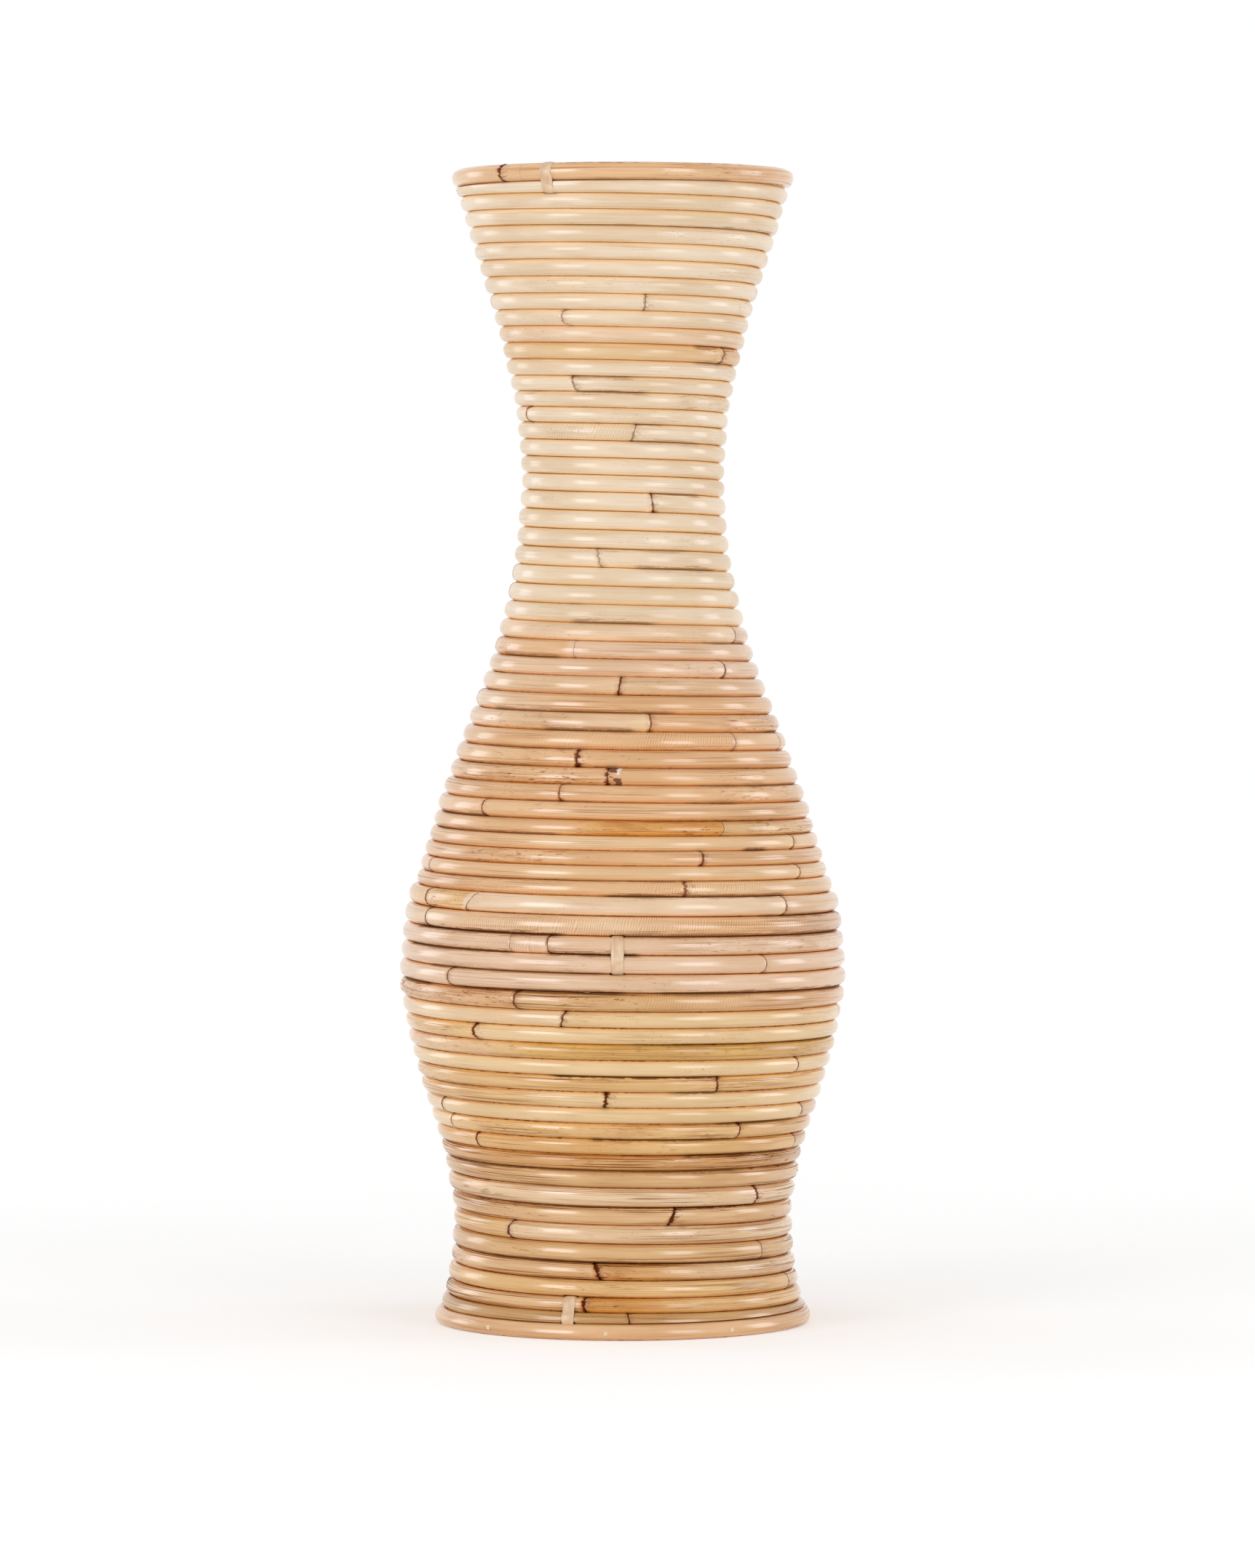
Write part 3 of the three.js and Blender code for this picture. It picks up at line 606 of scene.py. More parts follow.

# A scar is a thin dark line, with a pale lip after it and a brown stain round it, browner where it nears
# the edges of the row. A rough one is jagged.
jag = nodes.math("SUBTRACT", nodes.noise(cane_space, (70, 620, 620), (6, 1, 5), 3, 0.7), 0.5)
thin = nodes.noise(cane_space, (300, 700, 700), (1, 6, 8), 2, 0.6)
rough = nodes.math("MINIMUM", scar_rough, 1.0)
off_line = nodes.math("ADD", off_scar, nodes.times(jag, nodes.scaled(rough, 6 * MM, 0.8 * MM)))
from_line = nodes.size(off_line)
line_width = nodes.scaled(ink, 0.33 * MM, 0.12 * MM)
line_width = nodes.times(line_width, nodes.scaled(rough, 1.3, nodes.scaled(thin, 2.4, -0.2)))
line = nodes.rest(nodes.ramp(nodes.math("DIVIDE", from_line, line_width), 0.5, 1.6))
line = nodes.times(line, nodes.scaled(ink, 0.4, 0.6))
line = nodes.times(line, nodes.scaled(grime_and_shade, 0.2, 0.82), clamp=True)
lip = nodes.band(off_line, (0.2 * MM, 0.9 * MM), (2 * MM, 4.5 * MM))
near_line = nodes.rest(nodes.ramp(from_line, 0.3 * MM, 4.2 * MM))
stain = nodes.times(near_line, nodes.scaled(nodes.ramp(cloud, 0.4, 0.6), 0.6, 0.15))
corner = nodes.rest(nodes.ramp(from_line, 0.8 * MM, 2.6 * MM))
stain = nodes.scaled(nodes.times(corner, nodes.ramp(from_middle, 0.6, 0.92)), 1.1, stain)
stain = nodes.times(stain, nodes.times(ink, 0.75), clamp=True)
fray = nodes.band(off_line, (-8 * MM, -1 * MM), (-0.4 * MM, 0.2 * MM))
threads = nodes.ramp(nodes.math("ADD", thin, nodes.times(bars, 0.5)), 0.76, 0.84)
fray = nodes.times(nodes.times(fray, threads), nodes.times(rough, ink))
line_tint = nodes.mix(grime_and_shade, (0.46, 0.22, 0.08, 1), (0.24, 0.08, 0.02, 1))
colour = nodes.mix(nodes.times(lip, nodes.times(ink, 0.8)), colour, nodes.tinted(colour, 1.12, 1.16, 1.2))
colour = nodes.mix(stain, colour, nodes.tinted(colour, 0.5, 0.27, 0.13))
colour = nodes.mix(fray, colour, nodes.tinted(colour, 0.4, 0.22, 0.12))
colour = nodes.mix(line, colour, nodes.mix(1.0, colour, line_tint, "MULTIPLY"))

# Before a scar that is rougher than 1 the skin has broken away, and a pale sliver of it is left.
chipped = nodes.ramp(scar_rough, 1.1, 1.4)
torn = nodes.scaled(ragged, 6 * MM, off_scar)
beside = nodes.band(torn, (-6.8 * MM, -6.4 * MM), (-0.7 * MM, -0.4 * MM))
under = nodes.times(nodes.ramp(up, -0.3, -0.4), nodes.rest(nodes.ramp(torn, -3.6 * MM, -3.1 * MM)))
bare = nodes.times(nodes.most(under, nodes.ramp(up, 0.15, 0.25)), nodes.times(beside, chipped))
colour = nodes.mix(bare, colour, (0.2, 0.078, 0.042, 1))
last_bit = nodes.band(torn, (-6.8 * MM, -6.5 * MM), (-4.4 * MM, -4 * MM))
sliver = nodes.times(nodes.times(last_bit, nodes.ramp(up, -0.1, 0.05)), chipped)
colour = nodes.mix(sliver, colour, (0.83, 0.66, 0.56, 1))

relief = nodes.scaled(ripple, -0.045, given["Height"])
relief = nodes.scaled(bare, -0.3, relief)
relief = nodes.scaled(line, -0.1, relief)
relief = nodes.scaled(dirt_and_shade, -0.03, relief)
marked = nodes.most(nodes.most(dirt_and_shade, line), bare)
nodes.feed(result["Color"], colour)
nodes.feed(result["Height"], relief)
nodes.feed(result["Dull"], nodes.most(nodes.most(given["Dull"], fleck), marked, clamp=True))


def cane_finish(name, grime_and_shade, gloss):
    """Clear-lacquered rattan. grime_and_shade is how dirty its grooves are and how dark their painted shade
    is, gloss how thick its lacquer is.
    """
    finish, nodes, lacquer = new_material(name)
    tone = nodes.carried("tone")
    in_tone = {"Tone": tone["Color"], "Streaks": tone["Alpha"]}
    skin = nodes.node("Group", in_tone, node_tree=skin_tree).outputs
    under_marks = {"Color": skin["Color"], "Height": skin["Height"], "Dull": skin["Dull"], "Grime and shade": grime_and_shade}
    marks = nodes.node("Group", under_marks, node_tree=marks_tree).outputs
    nodes.feed(lacquer["Base Color"], marks["Color"])
    nodes.feed(lacquer["Roughness"], nodes.scaled(marks["Dull"], 0.3, 0.42))
    nodes.feed(lacquer["Specular IOR Level"], 0.1)
    nodes.feed(lacquer["Coat Weight"], nodes.scaled(marks["Dull"], -gloss, gloss))
    nodes.feed(lacquer["Coat Roughness"], 0.18)
    nodes.feed(lacquer["Coat IOR"], 1.7)
    nodes.feed(lacquer["Normal"], nodes.bump(marks["Height"], 1 * MM, 0.6))
    return finish


golden_finish = cane_finish("lacquered cane, golden", 0.9, 1.0)

base_hoop = lay_cane(
    "base_hoop_cane", hoop_course(0, BASE_JOINT), 0, 2 * math.pi * foot[0], 31,
    scars=[(0.04, 0, 1 * MM, 0.5, 0.1), (0.44, 1 * MM, 0, 0.6, 0.2), (0.52, 0, 0, 0.3, 0)],
    tones=[(0, *TONES["tan"])],
    wears=[],
    presses=[(foot[0] * math.radians(BASE_JOINT - BASE_TIE_DEGREES), 1)],
)
base_hoop.data.materials.append(golden_finish)
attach(base_hoop, "root")
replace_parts(base_hoop, "base_hoop")


# Coil of canes
# Twenty round canes wound in one rising left-hand spiral, butted end to end and pinned to the splints.
# Each entry is one cane from the foot up: turns, thickness in mm, and how its lower end meets the cane
# before: lean and bow in mm, ink (how dark the joint is) and rough (how jagged, past 1 with a chip).
CANES = [
    (1.77, 7.9, 0.0, 0.0, 0.5, 0.2),
    (1.99, 8.9, 0.0, 1.2, 1.0, 0.6),
    (2.09, 9.9, -3.2, 0.0, 1.0, 1.0),
    (0.84, 9.8, 1.0, 2.5, 0.9, 0.3),
    (1.55, 10.1, 3.6, 0.0, 1.0, 0.7),
    (5.51, 8.6, 1.0, 0.0, 0.9, 0.4),
    (5.03, 8.5, 1.2, -0.6, 1.0, 0.6),
    (4.01, 9.5, 2.6, 0.0, 0.7, 0.5),
    (2.07, 10.1, 0.0, 1.5, 0.6, 0.2),
    (4.79, 7.9, 8.5, 0.0, 0.35, 0.1),
    (3.1, 9.3, 0.0, -2.0, 0.12, 0.0),
    (1.03, 9.7, 0.6, 0.5, 1.0, 1.6),
    (3.96, 9.9, 0.5, 0.0, 1.0, 0.9),
    (2.82, 9.5, 1.6, 0.0, 0.8, 0.2),
    (7.13, 9.8, 0.0, -2.0, 0.5, 0.1),
    (4.03, 8.9, -1.0, 0.8, 0.7, 0.4),
    (3.09, 8.2, 2.4, 0.0, 0.3, 0.8),
    (4.9, 8.7, -2.0, 0.0, 0.5, 0.7),
    (4.53, 9.0, 0.6, 0.0, 0.3, 0.8),
    (3.35, 8.3, 0.0, 0.0, 0.7, 0.3),
]
START_ANGLE = -95
TIP = 2 * MM
LAST_ROW = 68
FILLED_FROM = HOOP_ROW / 2
FILLED_TO = WALL_LENGTH - HOOP_ROW / 2

turns = np.array([cane[0] for cane in CANES])
rows = np.array([cane[1] for cane in CANES]) * MM
turns *= (FILLED_TO + rows[-1] - FILLED_FROM) / (turns * rows).sum()
joint_turns = np.concatenate([[0], np.cumsum(turns)])
filled = FILLED_FROM + np.concatenate([[0], np.cumsum(turns * rows)])
# One more turn at each end, so that the thickness of the first and last rows follows too
knots = np.concatenate([[-1], joint_turns, [joint_turns[-1] + 1]])
levels = np.concatenate([[filled[0] - rows[0]], filled, [filled[-1] + rows[-1]]])

turn_grid = np.linspace(0, joint_turns[-1], 360 * LAST_ROW)
row_bottom = np.interp(turn_grid - 1, knots, levels)
row_top = np.interp(turn_grid, knots, levels)
row_middle = (row_bottom + row_top) / 2
row_half = (row_top - row_bottom) / 2
coil_radius, coil_height, coil_out_r, coil_out_z = wall_at(np.clip(row_middle, 0, WALL_LENGTH))
coil_radius += (row_half - HOOP_RADIUS) * coil_out_r
coil_height += (row_half - HOOP_RADIUS) * coil_out_z
mean_radius = (coil_radius[1:] + coil_radius[:-1]) / 2
coil = {
    "along": np.concatenate([[0], np.cumsum(2 * math.pi * mean_radius * np.diff(turn_grid))]),
    "angle": np.radians(START_ANGLE - 360 * turn_grid),
    "radius": coil_radius,
    "height": coil_height,
    "out_r": coil_out_r,
    "out_z": coil_out_z,
    "thick": row_half,
    "low": FILLED_FROM - row_middle,
    "high": FILLED_TO - row_middle,
}


def turn_of(row, degrees):
    """How far along the coil a place is, in turns. Rows count down from the rim hoop, which is row 1."""
    return LAST_ROW - row + 1 + (START_ANGLE - degrees) / 360


def along_at(turn):
    return np.interp(turn, turn_grid, coil["along"])


def right_of_front(degrees):
    """An angle as degrees right of the front, from -180 to 180."""
    return (degrees + 180) % 360 - 180


# Leaf scars seen from the front: row, degrees right of the front, lean, bow (mm), ink, rough
SCARS = [
    (8, 80, 0, -1, 0.5, 0.3), (10, -27, -2, 3.5, 0.45, 0.4), (12, 58, 2, 0, 0.7, 1),
    (16, -64, 0, 2, 1, 0.2), (24, -13, -2.4, 0, 0.4, 0.5), (29, -22, 0, 0, 0.2, 0),
    (30, 48, 0, -2, 1, 0.1), (33, 10, 0, -1, 0.8, 0.1), (34, 43, 0, -1.5, 0.5, 0),
    (34, 74, 0, -1.5, 0.8, 0), (37, -20, 0, 1, 0.7, 0.2), (38, -48, 0, 1.6, 0.9, 0),
    (40, 60, 0, -1.8, 0.9, 0.4), (41, 23, 0, -1.5, 1, 0.1), (42, -72, 0, 1.6, 0.8, 0),
    (42, 59, 0, -2.2, 1, 0.1), (43, 17, 0, 0, 0.8, 0.8), (44, -65, 0, 2, 1, 0.2),
    (44, 48, 0, -1.2, 0.8, 0.2), (45, -63, 0, 2, 1, 0), (46, -30, 0, 0, 0.25, 0),
    (47, 39, 0, -1.8, 0.7, 0), (48, -50, 0, 2.2, 0.9, 0.1), (49, -28, 0, 2.2, 0.9, 0.2),
    (51, -42, 0, 1.8, 1, 0.6), (53, 56, 0, -2.2, 1, 0.1), (54, 27, 0, 0, 0.9, 0.4),
    (56, -66, 0, 2, 1, 0.1), (56, 66, 0, -2.6, 1, 0.1), (57, -63, 0, 1.4, 0.7, 0),
    (57, 37, 1, -1.6, 1, 0.1), (58, -51, 0, 0.8, 1, 0.2), (58, 68, 0, -2.6, 1, 0.1),
    (61, 50, -1, 0, 0.9, 0.9), (64, 54, 0, 0, 0.5, 0.3), (66, 70, 0, -1, 0.7, 0.3),
    (68, 2, -1.5, 0, 0.8, 0.1),
]
scars = [
    (along_at(turn_of(row, degrees)), lean * MM, bow * MM, ink, rough)
    for row, degrees, lean, bow, ink, rough in SCARS
]
scars += [
    (along_at(turn), lean * MM, bow * MM, ink, rough)
    for turn, (*_, lean, bow, ink, rough) in zip(joint_turns[1:-1], CANES[1:])
]


def scatter(number, salt):
    """A fixed share between 0 and 1 for a number, spread evenly and without pattern."""
    return math.sin(12.9898 * number + 78.233 * salt) * 43758.5453 % 1


# Round the sides and the back a leaf grew every 15 to 21 cm, and its scar may be faint or dark.
LEAF_STEP = 0.15
LEAF_STEP_SPREAD = 0.06
SCAR_ROOM = 0.06
SCARS_SEEN_TO = 76
leaf_place = 0.05
leaf = 0
while leaf_place < coil["along"][-1]:
    degrees = right_of_front(np.degrees(np.interp(leaf_place, coil["along"], coil["angle"])))
    to_scar = min(abs(leaf_place - scar[0]) for scar in scars)
    if abs(degrees) > SCARS_SEEN_TO and to_scar > SCAR_ROOM:
        lean = (scatter(leaf, 0) - 0.5) * 3 * MM
        bow = (scatter(leaf, 1) - 0.3) * 2.5 * MM
        scars.append((leaf_place, lean, bow, 0.3 + 0.7 * scatter(leaf, 2), 0.7 * scatter(leaf, 3) ** 2))
    leaf_place += LEAF_STEP + LEAF_STEP_SPREAD * scatter(leaf, 9)
    leaf += 1
scars.sort()

# Tones from the foot up: the row and degrees where each begins, reading right to left as the coil rises
TONE_STARTS = [
    (68, 180, "drab"), (67, 180, "honey"), (67, 14, "amber"), (67, -13, "streaked"),
    (66, 180, "streaked"), (66, 70, "honey"), (65, 180, "light"), (65, 22, "smoked"),
    (65, -10, "streaked"), (64, 180, "toffee"), (63, 180, "light"), (63, -42, "honey"),
    (62, 180, "streaked"), (61, 180, "light"), (61, -60, "streaked"), (60, 180, "streaked"),
    (60, 40, "toffee"), (59, 60, "smoked"), (58, 180, "toffee"), (58, 68, "caramel"), (57, 37, "honey"),
    (57, -63, "straw"), (56, 180, "toffee"), (56, 66, "straw"), (55, -24, "honey"), (54, 100, "honey"),
    (54, -90, "straw"), (53, 56, "straw"), (52, 180, "reed"), (52, -32, "sand"), (51, 180, "straw"),
    (51, -42, "honey"), (50, 180, "straw"), (50, -16, "wheat"), (49, 180, "tan"), (49, 24, "toffee"),
    (49, -28, "tan"), (48, 180, "blush"), (46, 180, "blush"), (45, 180, "rosy"), (45, 50, "tan"),
    (45, 12, "buff"), (44, 48, "cream"), (44, -46, "honey"), (43, 180, "sand"), (43, 17, "tan"),
    (42, 180, "sand"), (42, -26, "tan"), (41, 180, "tan"), (40, 180, "sand"), (40, -26, "tan"),
    (39, 62, "toffee"), (39, 31, "amber"), (39, -13, "tan"), (34, 180, "tan"), (33, 10, "wheat"),
    (33, 4, "buff"), (32, 180, "tan"), (32, -28, "buff"), (30, 180, "blush"), (30, -30, "buff"),
    (29, 180, "blush"), (29, -26, "tan"), (28, 180, "blush"), (28, 63, "cream"), (27, 180, "pale"),
    (16, 180, "pale"), (12, 180, "sand"), (12, 20, "wheat"), (11, 180, "cream"), (10, 180, "pale"),
]
tone_starts = sorted((along_at(turn_of(row, degrees)), *TONES[name]) for row, degrees, name in TONE_STARTS)
tones = [tone_starts[0]]
tones_after = tone_starts[2:] + [(FAR, 0)]
AT_SCAR = 6 * MM
SHARP_BLEND = 0.3 * MM
SLOW_BLEND = 16 * MM
for (before, *old), (place, *new), (after, *_) in zip(tone_starts, tone_starts[1:], tones_after):
    # A tone changes at once across a scar or joint, and slowly anywhere else.
    blend = SHARP_BLEND if min(abs(place - scar[0]) for scar in scars) < AT_SCAR else SLOW_BLEND
    blend = min(blend, 0.45 * (place - before), 0.45 * (after - place))
    tones += [(place - blend, *old), (place + blend, *new)]

# Wear seen from the front: row, from and to in degrees, kind, strength
WEAR = [
    (2, -24, -12, "upper", 0.9), (12, 38, 76, "upper", 0.9), (12, 40, 62, "lower", 0.6),
    (14, -30, 6, "upper", 0.7), (14, -24, 12, "lower", 0.8), (15, -60, -48, "upper", 0.5),
    (16, -62, -38, "ripple", 0.6), (17, -48, 5, "ripple", 0.6), (17, 5, 24, "upper", 0.6),
    (17, 4, 50, "lower", 0.5), (21, 18, 50, "upper", 0.9), (24, 8, 60, "lower", 0.7),
    (24, -20, 40, "upper", 0.5), (27, -28, -22, "upper", 0.7), (27, -25, 15, "lower", 0.7),
    (29, 40, 80, "upper", 0.8), (29, -70, -30, "lower", 0.5), (31, -2, 40, "blotch", 0.15),
    (32, -60, 20, "lower", 0.5), (33, -30, 4, "lower", 0.7), (33, -60, -20, "blotch", 0.5),
    (33, 40, 80, "blotch", 0.8), (34, -36, 8, "ripple", 0.5), (34, 8, 43, "ripple", 1.0),
    (35, -60, -17, "upper", 0.7), (35, -50, -17, "blotch", 0.5), (36, -70, -6, "blotch", 0.8),
    (36, -70, -30, "upper", 0.6), (37, 44, 60, "upper", 0.9), (37, 30, 75, "blotch", 0.5),
    (38, -80, -48, "lower", 0.6), (38, 22, 38, "upper", 0.9), (39, -80, -20, "lower", 0.5),
    (39, 40, 80, "blotch", 0.7), (39, -13, 31, "blotch", 0.9), (40, 38, 47, "lower", 0.9),
    (41, -50, -16, "blotch", 0.8), (43, 5, 50, "ripple", 0.9), (43, -60, -20, "ripple", 0.5),
    (43, -5, 17, "lower", 0.9), (43, 18, 50, "lower", 0.8), (43, -60, 15, "upper", 0.6),
    (44, -64, -46, "blotch", 0.9), (45, -46, 88, "ripple", 1.0), (45, -70, -16, "lower", 1.0),
    (45, 0, 80, "lower", 0.6), (45, 40, 88, "upper", 0.8), (46, -75, -21, "ripple", 0.6),
    (46, -75, -30, "lower", 0.8), (46, -19, 4, "lower", 1.0), (46, 20, 80, "blotch", 0.5),
    (47, -60, -5, "lower", 0.5), (48, -85, -52, "ripple", 0.4), (48, -48, 0, "lower", 0.8),
    (48, -88, -60, "lower", 0.8), (49, -88, -30, "ripple", 0.4), (49, 5, 88, "ripple", 0.7),
    (49, -88, -28, "blotch", 0.9), (49, -20, 5, "blotch", 0.8), (49, 10, 80, "upper", 0.4),
    (52, -80, 80, "blotch", 0.4), (54, -20, 27, "upper", 0.8), (54, 15, 27, "lower", 0.6),
    (56, 30, 64, "lower", 0.6), (57, -60, 30, "blotch", 0.5), (57, -10, 36, "lower", 0.7),
    (58, 20, 66, "lower", 0.7), (59, -80, 40, "lower", 0.5), (59, -20, 38, "blotch", 0.4),
    (62, -60, 17, "upper", 0.6), (62, 17, 50, "upper", 0.9), (64, -50, 60, "lower", 0.5),
    (65, -8, 6, "blotch", 0.9), (67, -11, 0, "blotch", 1.0), (67, -12, 60, "blotch", 0.3),
    (68, -60, -20, "lower", 0.5),
]
# What darkens the underside of one row has settled on the top of the row below it too.
WEAR += [
    (row + 1, start, end, "upper", 0.8 * strength)
    for row, start, end, kind, strength in WEAR if kind == "lower"
]
wears = [
    (along_at(turn_of(row, end)), along_at(turn_of(row, start)), kind, strength)
    for row, start, end, kind, strength in WEAR
]
# Round the sides and the back the wear is scattered, one mark about every three quarters of a turn.
WEAR_SEEN_TO = 80
for number in range(90):
    turn = 1.3 + 0.735 * number
    degrees = right_of_front(START_ANGLE - 360 * turn)
    if abs(degrees) > WEAR_SEEN_TO and turn < joint_turns[-1] - 0.3:
        worn_to = turn + 0.1 + 0.2 * scatter(number, 3)
        strength = 0.4 + 0.5 * scatter(number, 4)
        wears.append((along_at(turn), along_at(worn_to), WEAR_KINDS[number % 4], strength))

# Each tie goes round the row that is named here and the one above it, and presses the rows next to both.
BASE_TIE = (68, BASE_TIE_DEGREES)
BELLY_TIE = (47, -1.3)
RIM_TIE = (2, -26.4)
presses = [(turn_of(*RIM_TIE) - 1, 1), (turn_of(*RIM_TIE), -1)]
for tie in (BASE_TIE, BELLY_TIE):
    presses += [(turn_of(*tie), -1), (turn_of(*tie) + 1, 1), (turn_of(*tie) + 2, -1)]
presses.append((turn_of(*BELLY_TIE) - 1, 1))

finishes = {
    "cane_olive": cane_finish("lacquered cane, greyed olive", 1.0, 1.0),
    "cane_golden": golden_finish,
    "cane_tan": cane_finish("lacquered cane, pinkish tan", 0.55, 1.0),
    "cane_pale": cane_finish("lacquered cane, pale cream", 0.2, 0.65),
}
cane_slots = ["cane_olive"] + ["cane_golden"] * 6 + ["cane_tan"] * 7 + ["cane_pale"] * 6
cane_ends = joint_turns.copy()
cane_ends[0] += TIP / rows[0]
cane_ends[-1] -= TIP / rows[-1]
for number, (first, last, slot) in enumerate(zip(cane_ends, cane_ends[1:], cane_slots), start=1):
    cane = lay_cane(
        f"coil_cane_{number:02d}_skin", coil, along_at(first), along_at(last), number, scars, tones, wears,
        [(along_at(turn), side) for turn, side in presses if first < turn < last],
    )
    cane.data.materials.append(finishes[slot])
    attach(cane, "root")
    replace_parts(cane, f"coil_cane_{number:02d}")


# Rim hoop
# One cane bent to a level ring that closes the mouth, its ends butted at the left front. It is the same
# lacquered rattan as the coil, and a tie holds it to the last row.
RIM_JOINT = -45
RIM_LENGTH = 2 * math.pi * rim[0]


def rim_along(degrees):
    return rim[0] * math.radians((RIM_JOINT - degrees) % 360)


rim_hoop = lay_cane(
    "rim_hoop_cane", hoop_course(WALL_LENGTH, RIM_JOINT), 0, RIM_LENGTH, 41,
    scars=[
        (0, 0, 1 * MM, 1.0, 0.6), (RIM_LENGTH, 0, 1 * MM, 1.0, 0.6), (rim_along(-25), 0, 0, 0.5, 0.1),
        (rim_along(95), 1 * MM, 0, 0.5, 0.1), (rim_along(170), 1 * MM, 0, 0.7, 0.1),
        (rim_along(-120), 0, 0, 0.5, 0.2),
    ],
    tones=[
        (0, *TONES["tan"]), (rim_along(-100), *TONES["wheat"]), (rim_along(110), *TONES["wheat"]),
        (rim_along(70), *TONES["tan"]),
    ],
    wears=[(rim_along(40), rim_along(-10), "lower", 0.7)],
)
rim_hoop.data.materials.append(finishes["cane_tan"])
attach(rim_hoop, "root")
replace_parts(rim_hoop, "rim_hoop")


# Ties
# Three straps of split rattan peel, each drawn tight round two neighbouring rows and tucked between the
# turns. The peel is cut from the skin of a cane and keeps its satin face, and its edges are thinned.
peel, nodes, satin = new_material("rattan peel, satin")
strap_at = nodes.carried("grain")["Vector"]
strap_lines = nodes.noise(strap_at, (60, 1600, 900), (0, 0, 0), 3, 0.6)
strap_patches = nodes.noise(strap_at, (90, 160, 160), (4, 1, 2), 2, 0.5)
dark_peel, light_peel, peel_line = linear(208, 168, 126), linear(231, 203, 168), linear(170, 122, 78)
strap_colour = nodes.mix(nodes.ramp(strap_patches, 0.3, 0.7), (*dark_peel, 1), (*light_peel, 1))
strap_lined = nodes.times(nodes.ramp(strap_lines, 0.52, 0.72), 0.35)
nodes.feed(satin["Base Color"], nodes.mix(strap_lined, strap_colour, (*peel_line, 1)))
nodes.feed(satin["Roughness"], nodes.scaled(strap_patches, 0.2, 0.35))
nodes.feed(satin["Coat Weight"], 0.4)
nodes.feed(satin["Coat Roughness"], 0.2)
nodes.feed(satin["Normal"], nodes.bump(strap_lines, 0.1 * MM, 0.7))

STRAP_WIDTH = 6.4 * MM
STRAP_THICKNESS = 0.9 * MM
STRAP_CLEARANCE = 0.05 * MM
STRAP_BITE = 0.5 * MM
STRAP_SAG = 0.4 * MM
STRAP_SPAN = 4 * MM
# Across the strap, in half widths and thicknesses
STRAP_SECTION = [
    (-1, -0.3), (-0.98, -0.05), (-0.82, 0.24), (-0.5, 0.44), (0, 0.54), (0.5, 0.44), (0.82, 0.24),
    (0.98, -0.05), (1, -0.3), (0.9, -0.5), (0, -0.5), (-0.9, -0.5),
]


def strap_path(lower, upper):
    """The middle of a strap as radius and height, once round the section of two rows."""
    bent = []
    for row, angles in ((lower, np.arange(0, -181, -12)), (upper, np.arange(180, -1, -12))):
        radius, height, thick, out_r, out_z = row
        for angle in np.radians(angles):
            reach = thick + STRAP_THICKNESS / 2 + STRAP_CLEARANCE - STRAP_BITE * abs(math.sin(angle)) ** 3
            out, up = reach * math.cos(angle), reach * math.sin(angle)
            bent.append((radius + out * out_r - up * out_z, height + out * out_z + up * out_r))
    bent = np.array(bent)
    # The strap sags a little into the groove between the rows, on the outside and on the inside.
    path = []
    for here, there in zip(bent, np.roll(bent, -1, axis=0)):
        path.append(here)
        span = np.hypot(*(there - here))
        if span > STRAP_SPAN:
            inward = np.array([there[1] - here[1], here[0] - there[0]]) / span
            inward *= np.sign(inward @ (bent.mean(axis=0) - (here + there) / 2))
            for share in (0.2, 0.35, 0.5, 0.65, 0.8):
                path.append(here + (there - here) * share + inward * STRAP_SAG * math.sin(math.pi * share))
    return np.array(path)


def stand_at(degrees, aside, out, height):
    """A point so far out and aside, seen from so many degrees right of the front, and at a height."""
    turn = math.radians(degrees)
    right = out * math.sin(turn) + aside * math.cos(turn)
    back = aside * math.sin(turn) - out * math.cos(turn)
    return right, back, height


def tie_round(name, degrees, lower, upper):
    """A strap round two rows, each given by its radius, height, thickness and outward side."""
    path = strap_path(lower, upper)
    forward = np.roll(path, -1, axis=0) - np.roll(path, 1, axis=0)
    forward /= np.hypot(*forward.T)[:, None]
    outward = np.stack([forward[:, 1], -forward[:, 0]], axis=1)
    outward *= np.sign(((path - path.mean(axis=0)) * outward).sum(axis=1))[:, None]
    length = np.concatenate([[0], np.cumsum(np.hypot(*np.diff(path, axis=0).T))])
    points = []
    grain = []
    for spot, face, distance in zip(path, outward, length):
        half = STRAP_WIDTH / 2 * (1 + 0.03 * math.sin(900 * distance + degrees))
        for wide, deep in STRAP_SECTION:
            aside = wide * half
            out, height = spot + face * deep * STRAP_THICKNESS
            out -= aside * aside / (2 * out)
            points.append(stand_at(degrees, aside, out, height))
            grain.append((distance + degrees, aside, deep * STRAP_THICKNESS))
    faces = wrap_faces(len(path), len(STRAP_SECTION), looped=True)
    strap = make_piece(name, points, faces, 48, grain=grain)
    strap.data.materials.append(peel)
    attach(strap, "root")
    return strap


def row_at(turn):
    """What a strap needs to know of the coil at a place."""
    columns = [coil[key] for key in ("radius", "height", "thick", "out_r", "out_z")]
    return [np.interp(turn, turn_grid, column) for column in columns]


rim_radius, rim_height, rim_out_r, rim_out_z = wall_at(WALL_LENGTH)
rim_row = (rim_radius, rim_height, HOOP_RADIUS, rim_out_r, rim_out_z)
for name, tie, upper_row in (
    ("base_tie", BASE_TIE, row_at(turn_of(*BASE_TIE) + 1)),
    ("belly_tie", BELLY_TIE, row_at(turn_of(*BELLY_TIE) + 1)),
    ("rim_tie", RIM_TIE, rim_row),
):
    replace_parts(tie_round(name + "_strap", tie[1], row_at(turn_of(*tie)), upper_row), name)


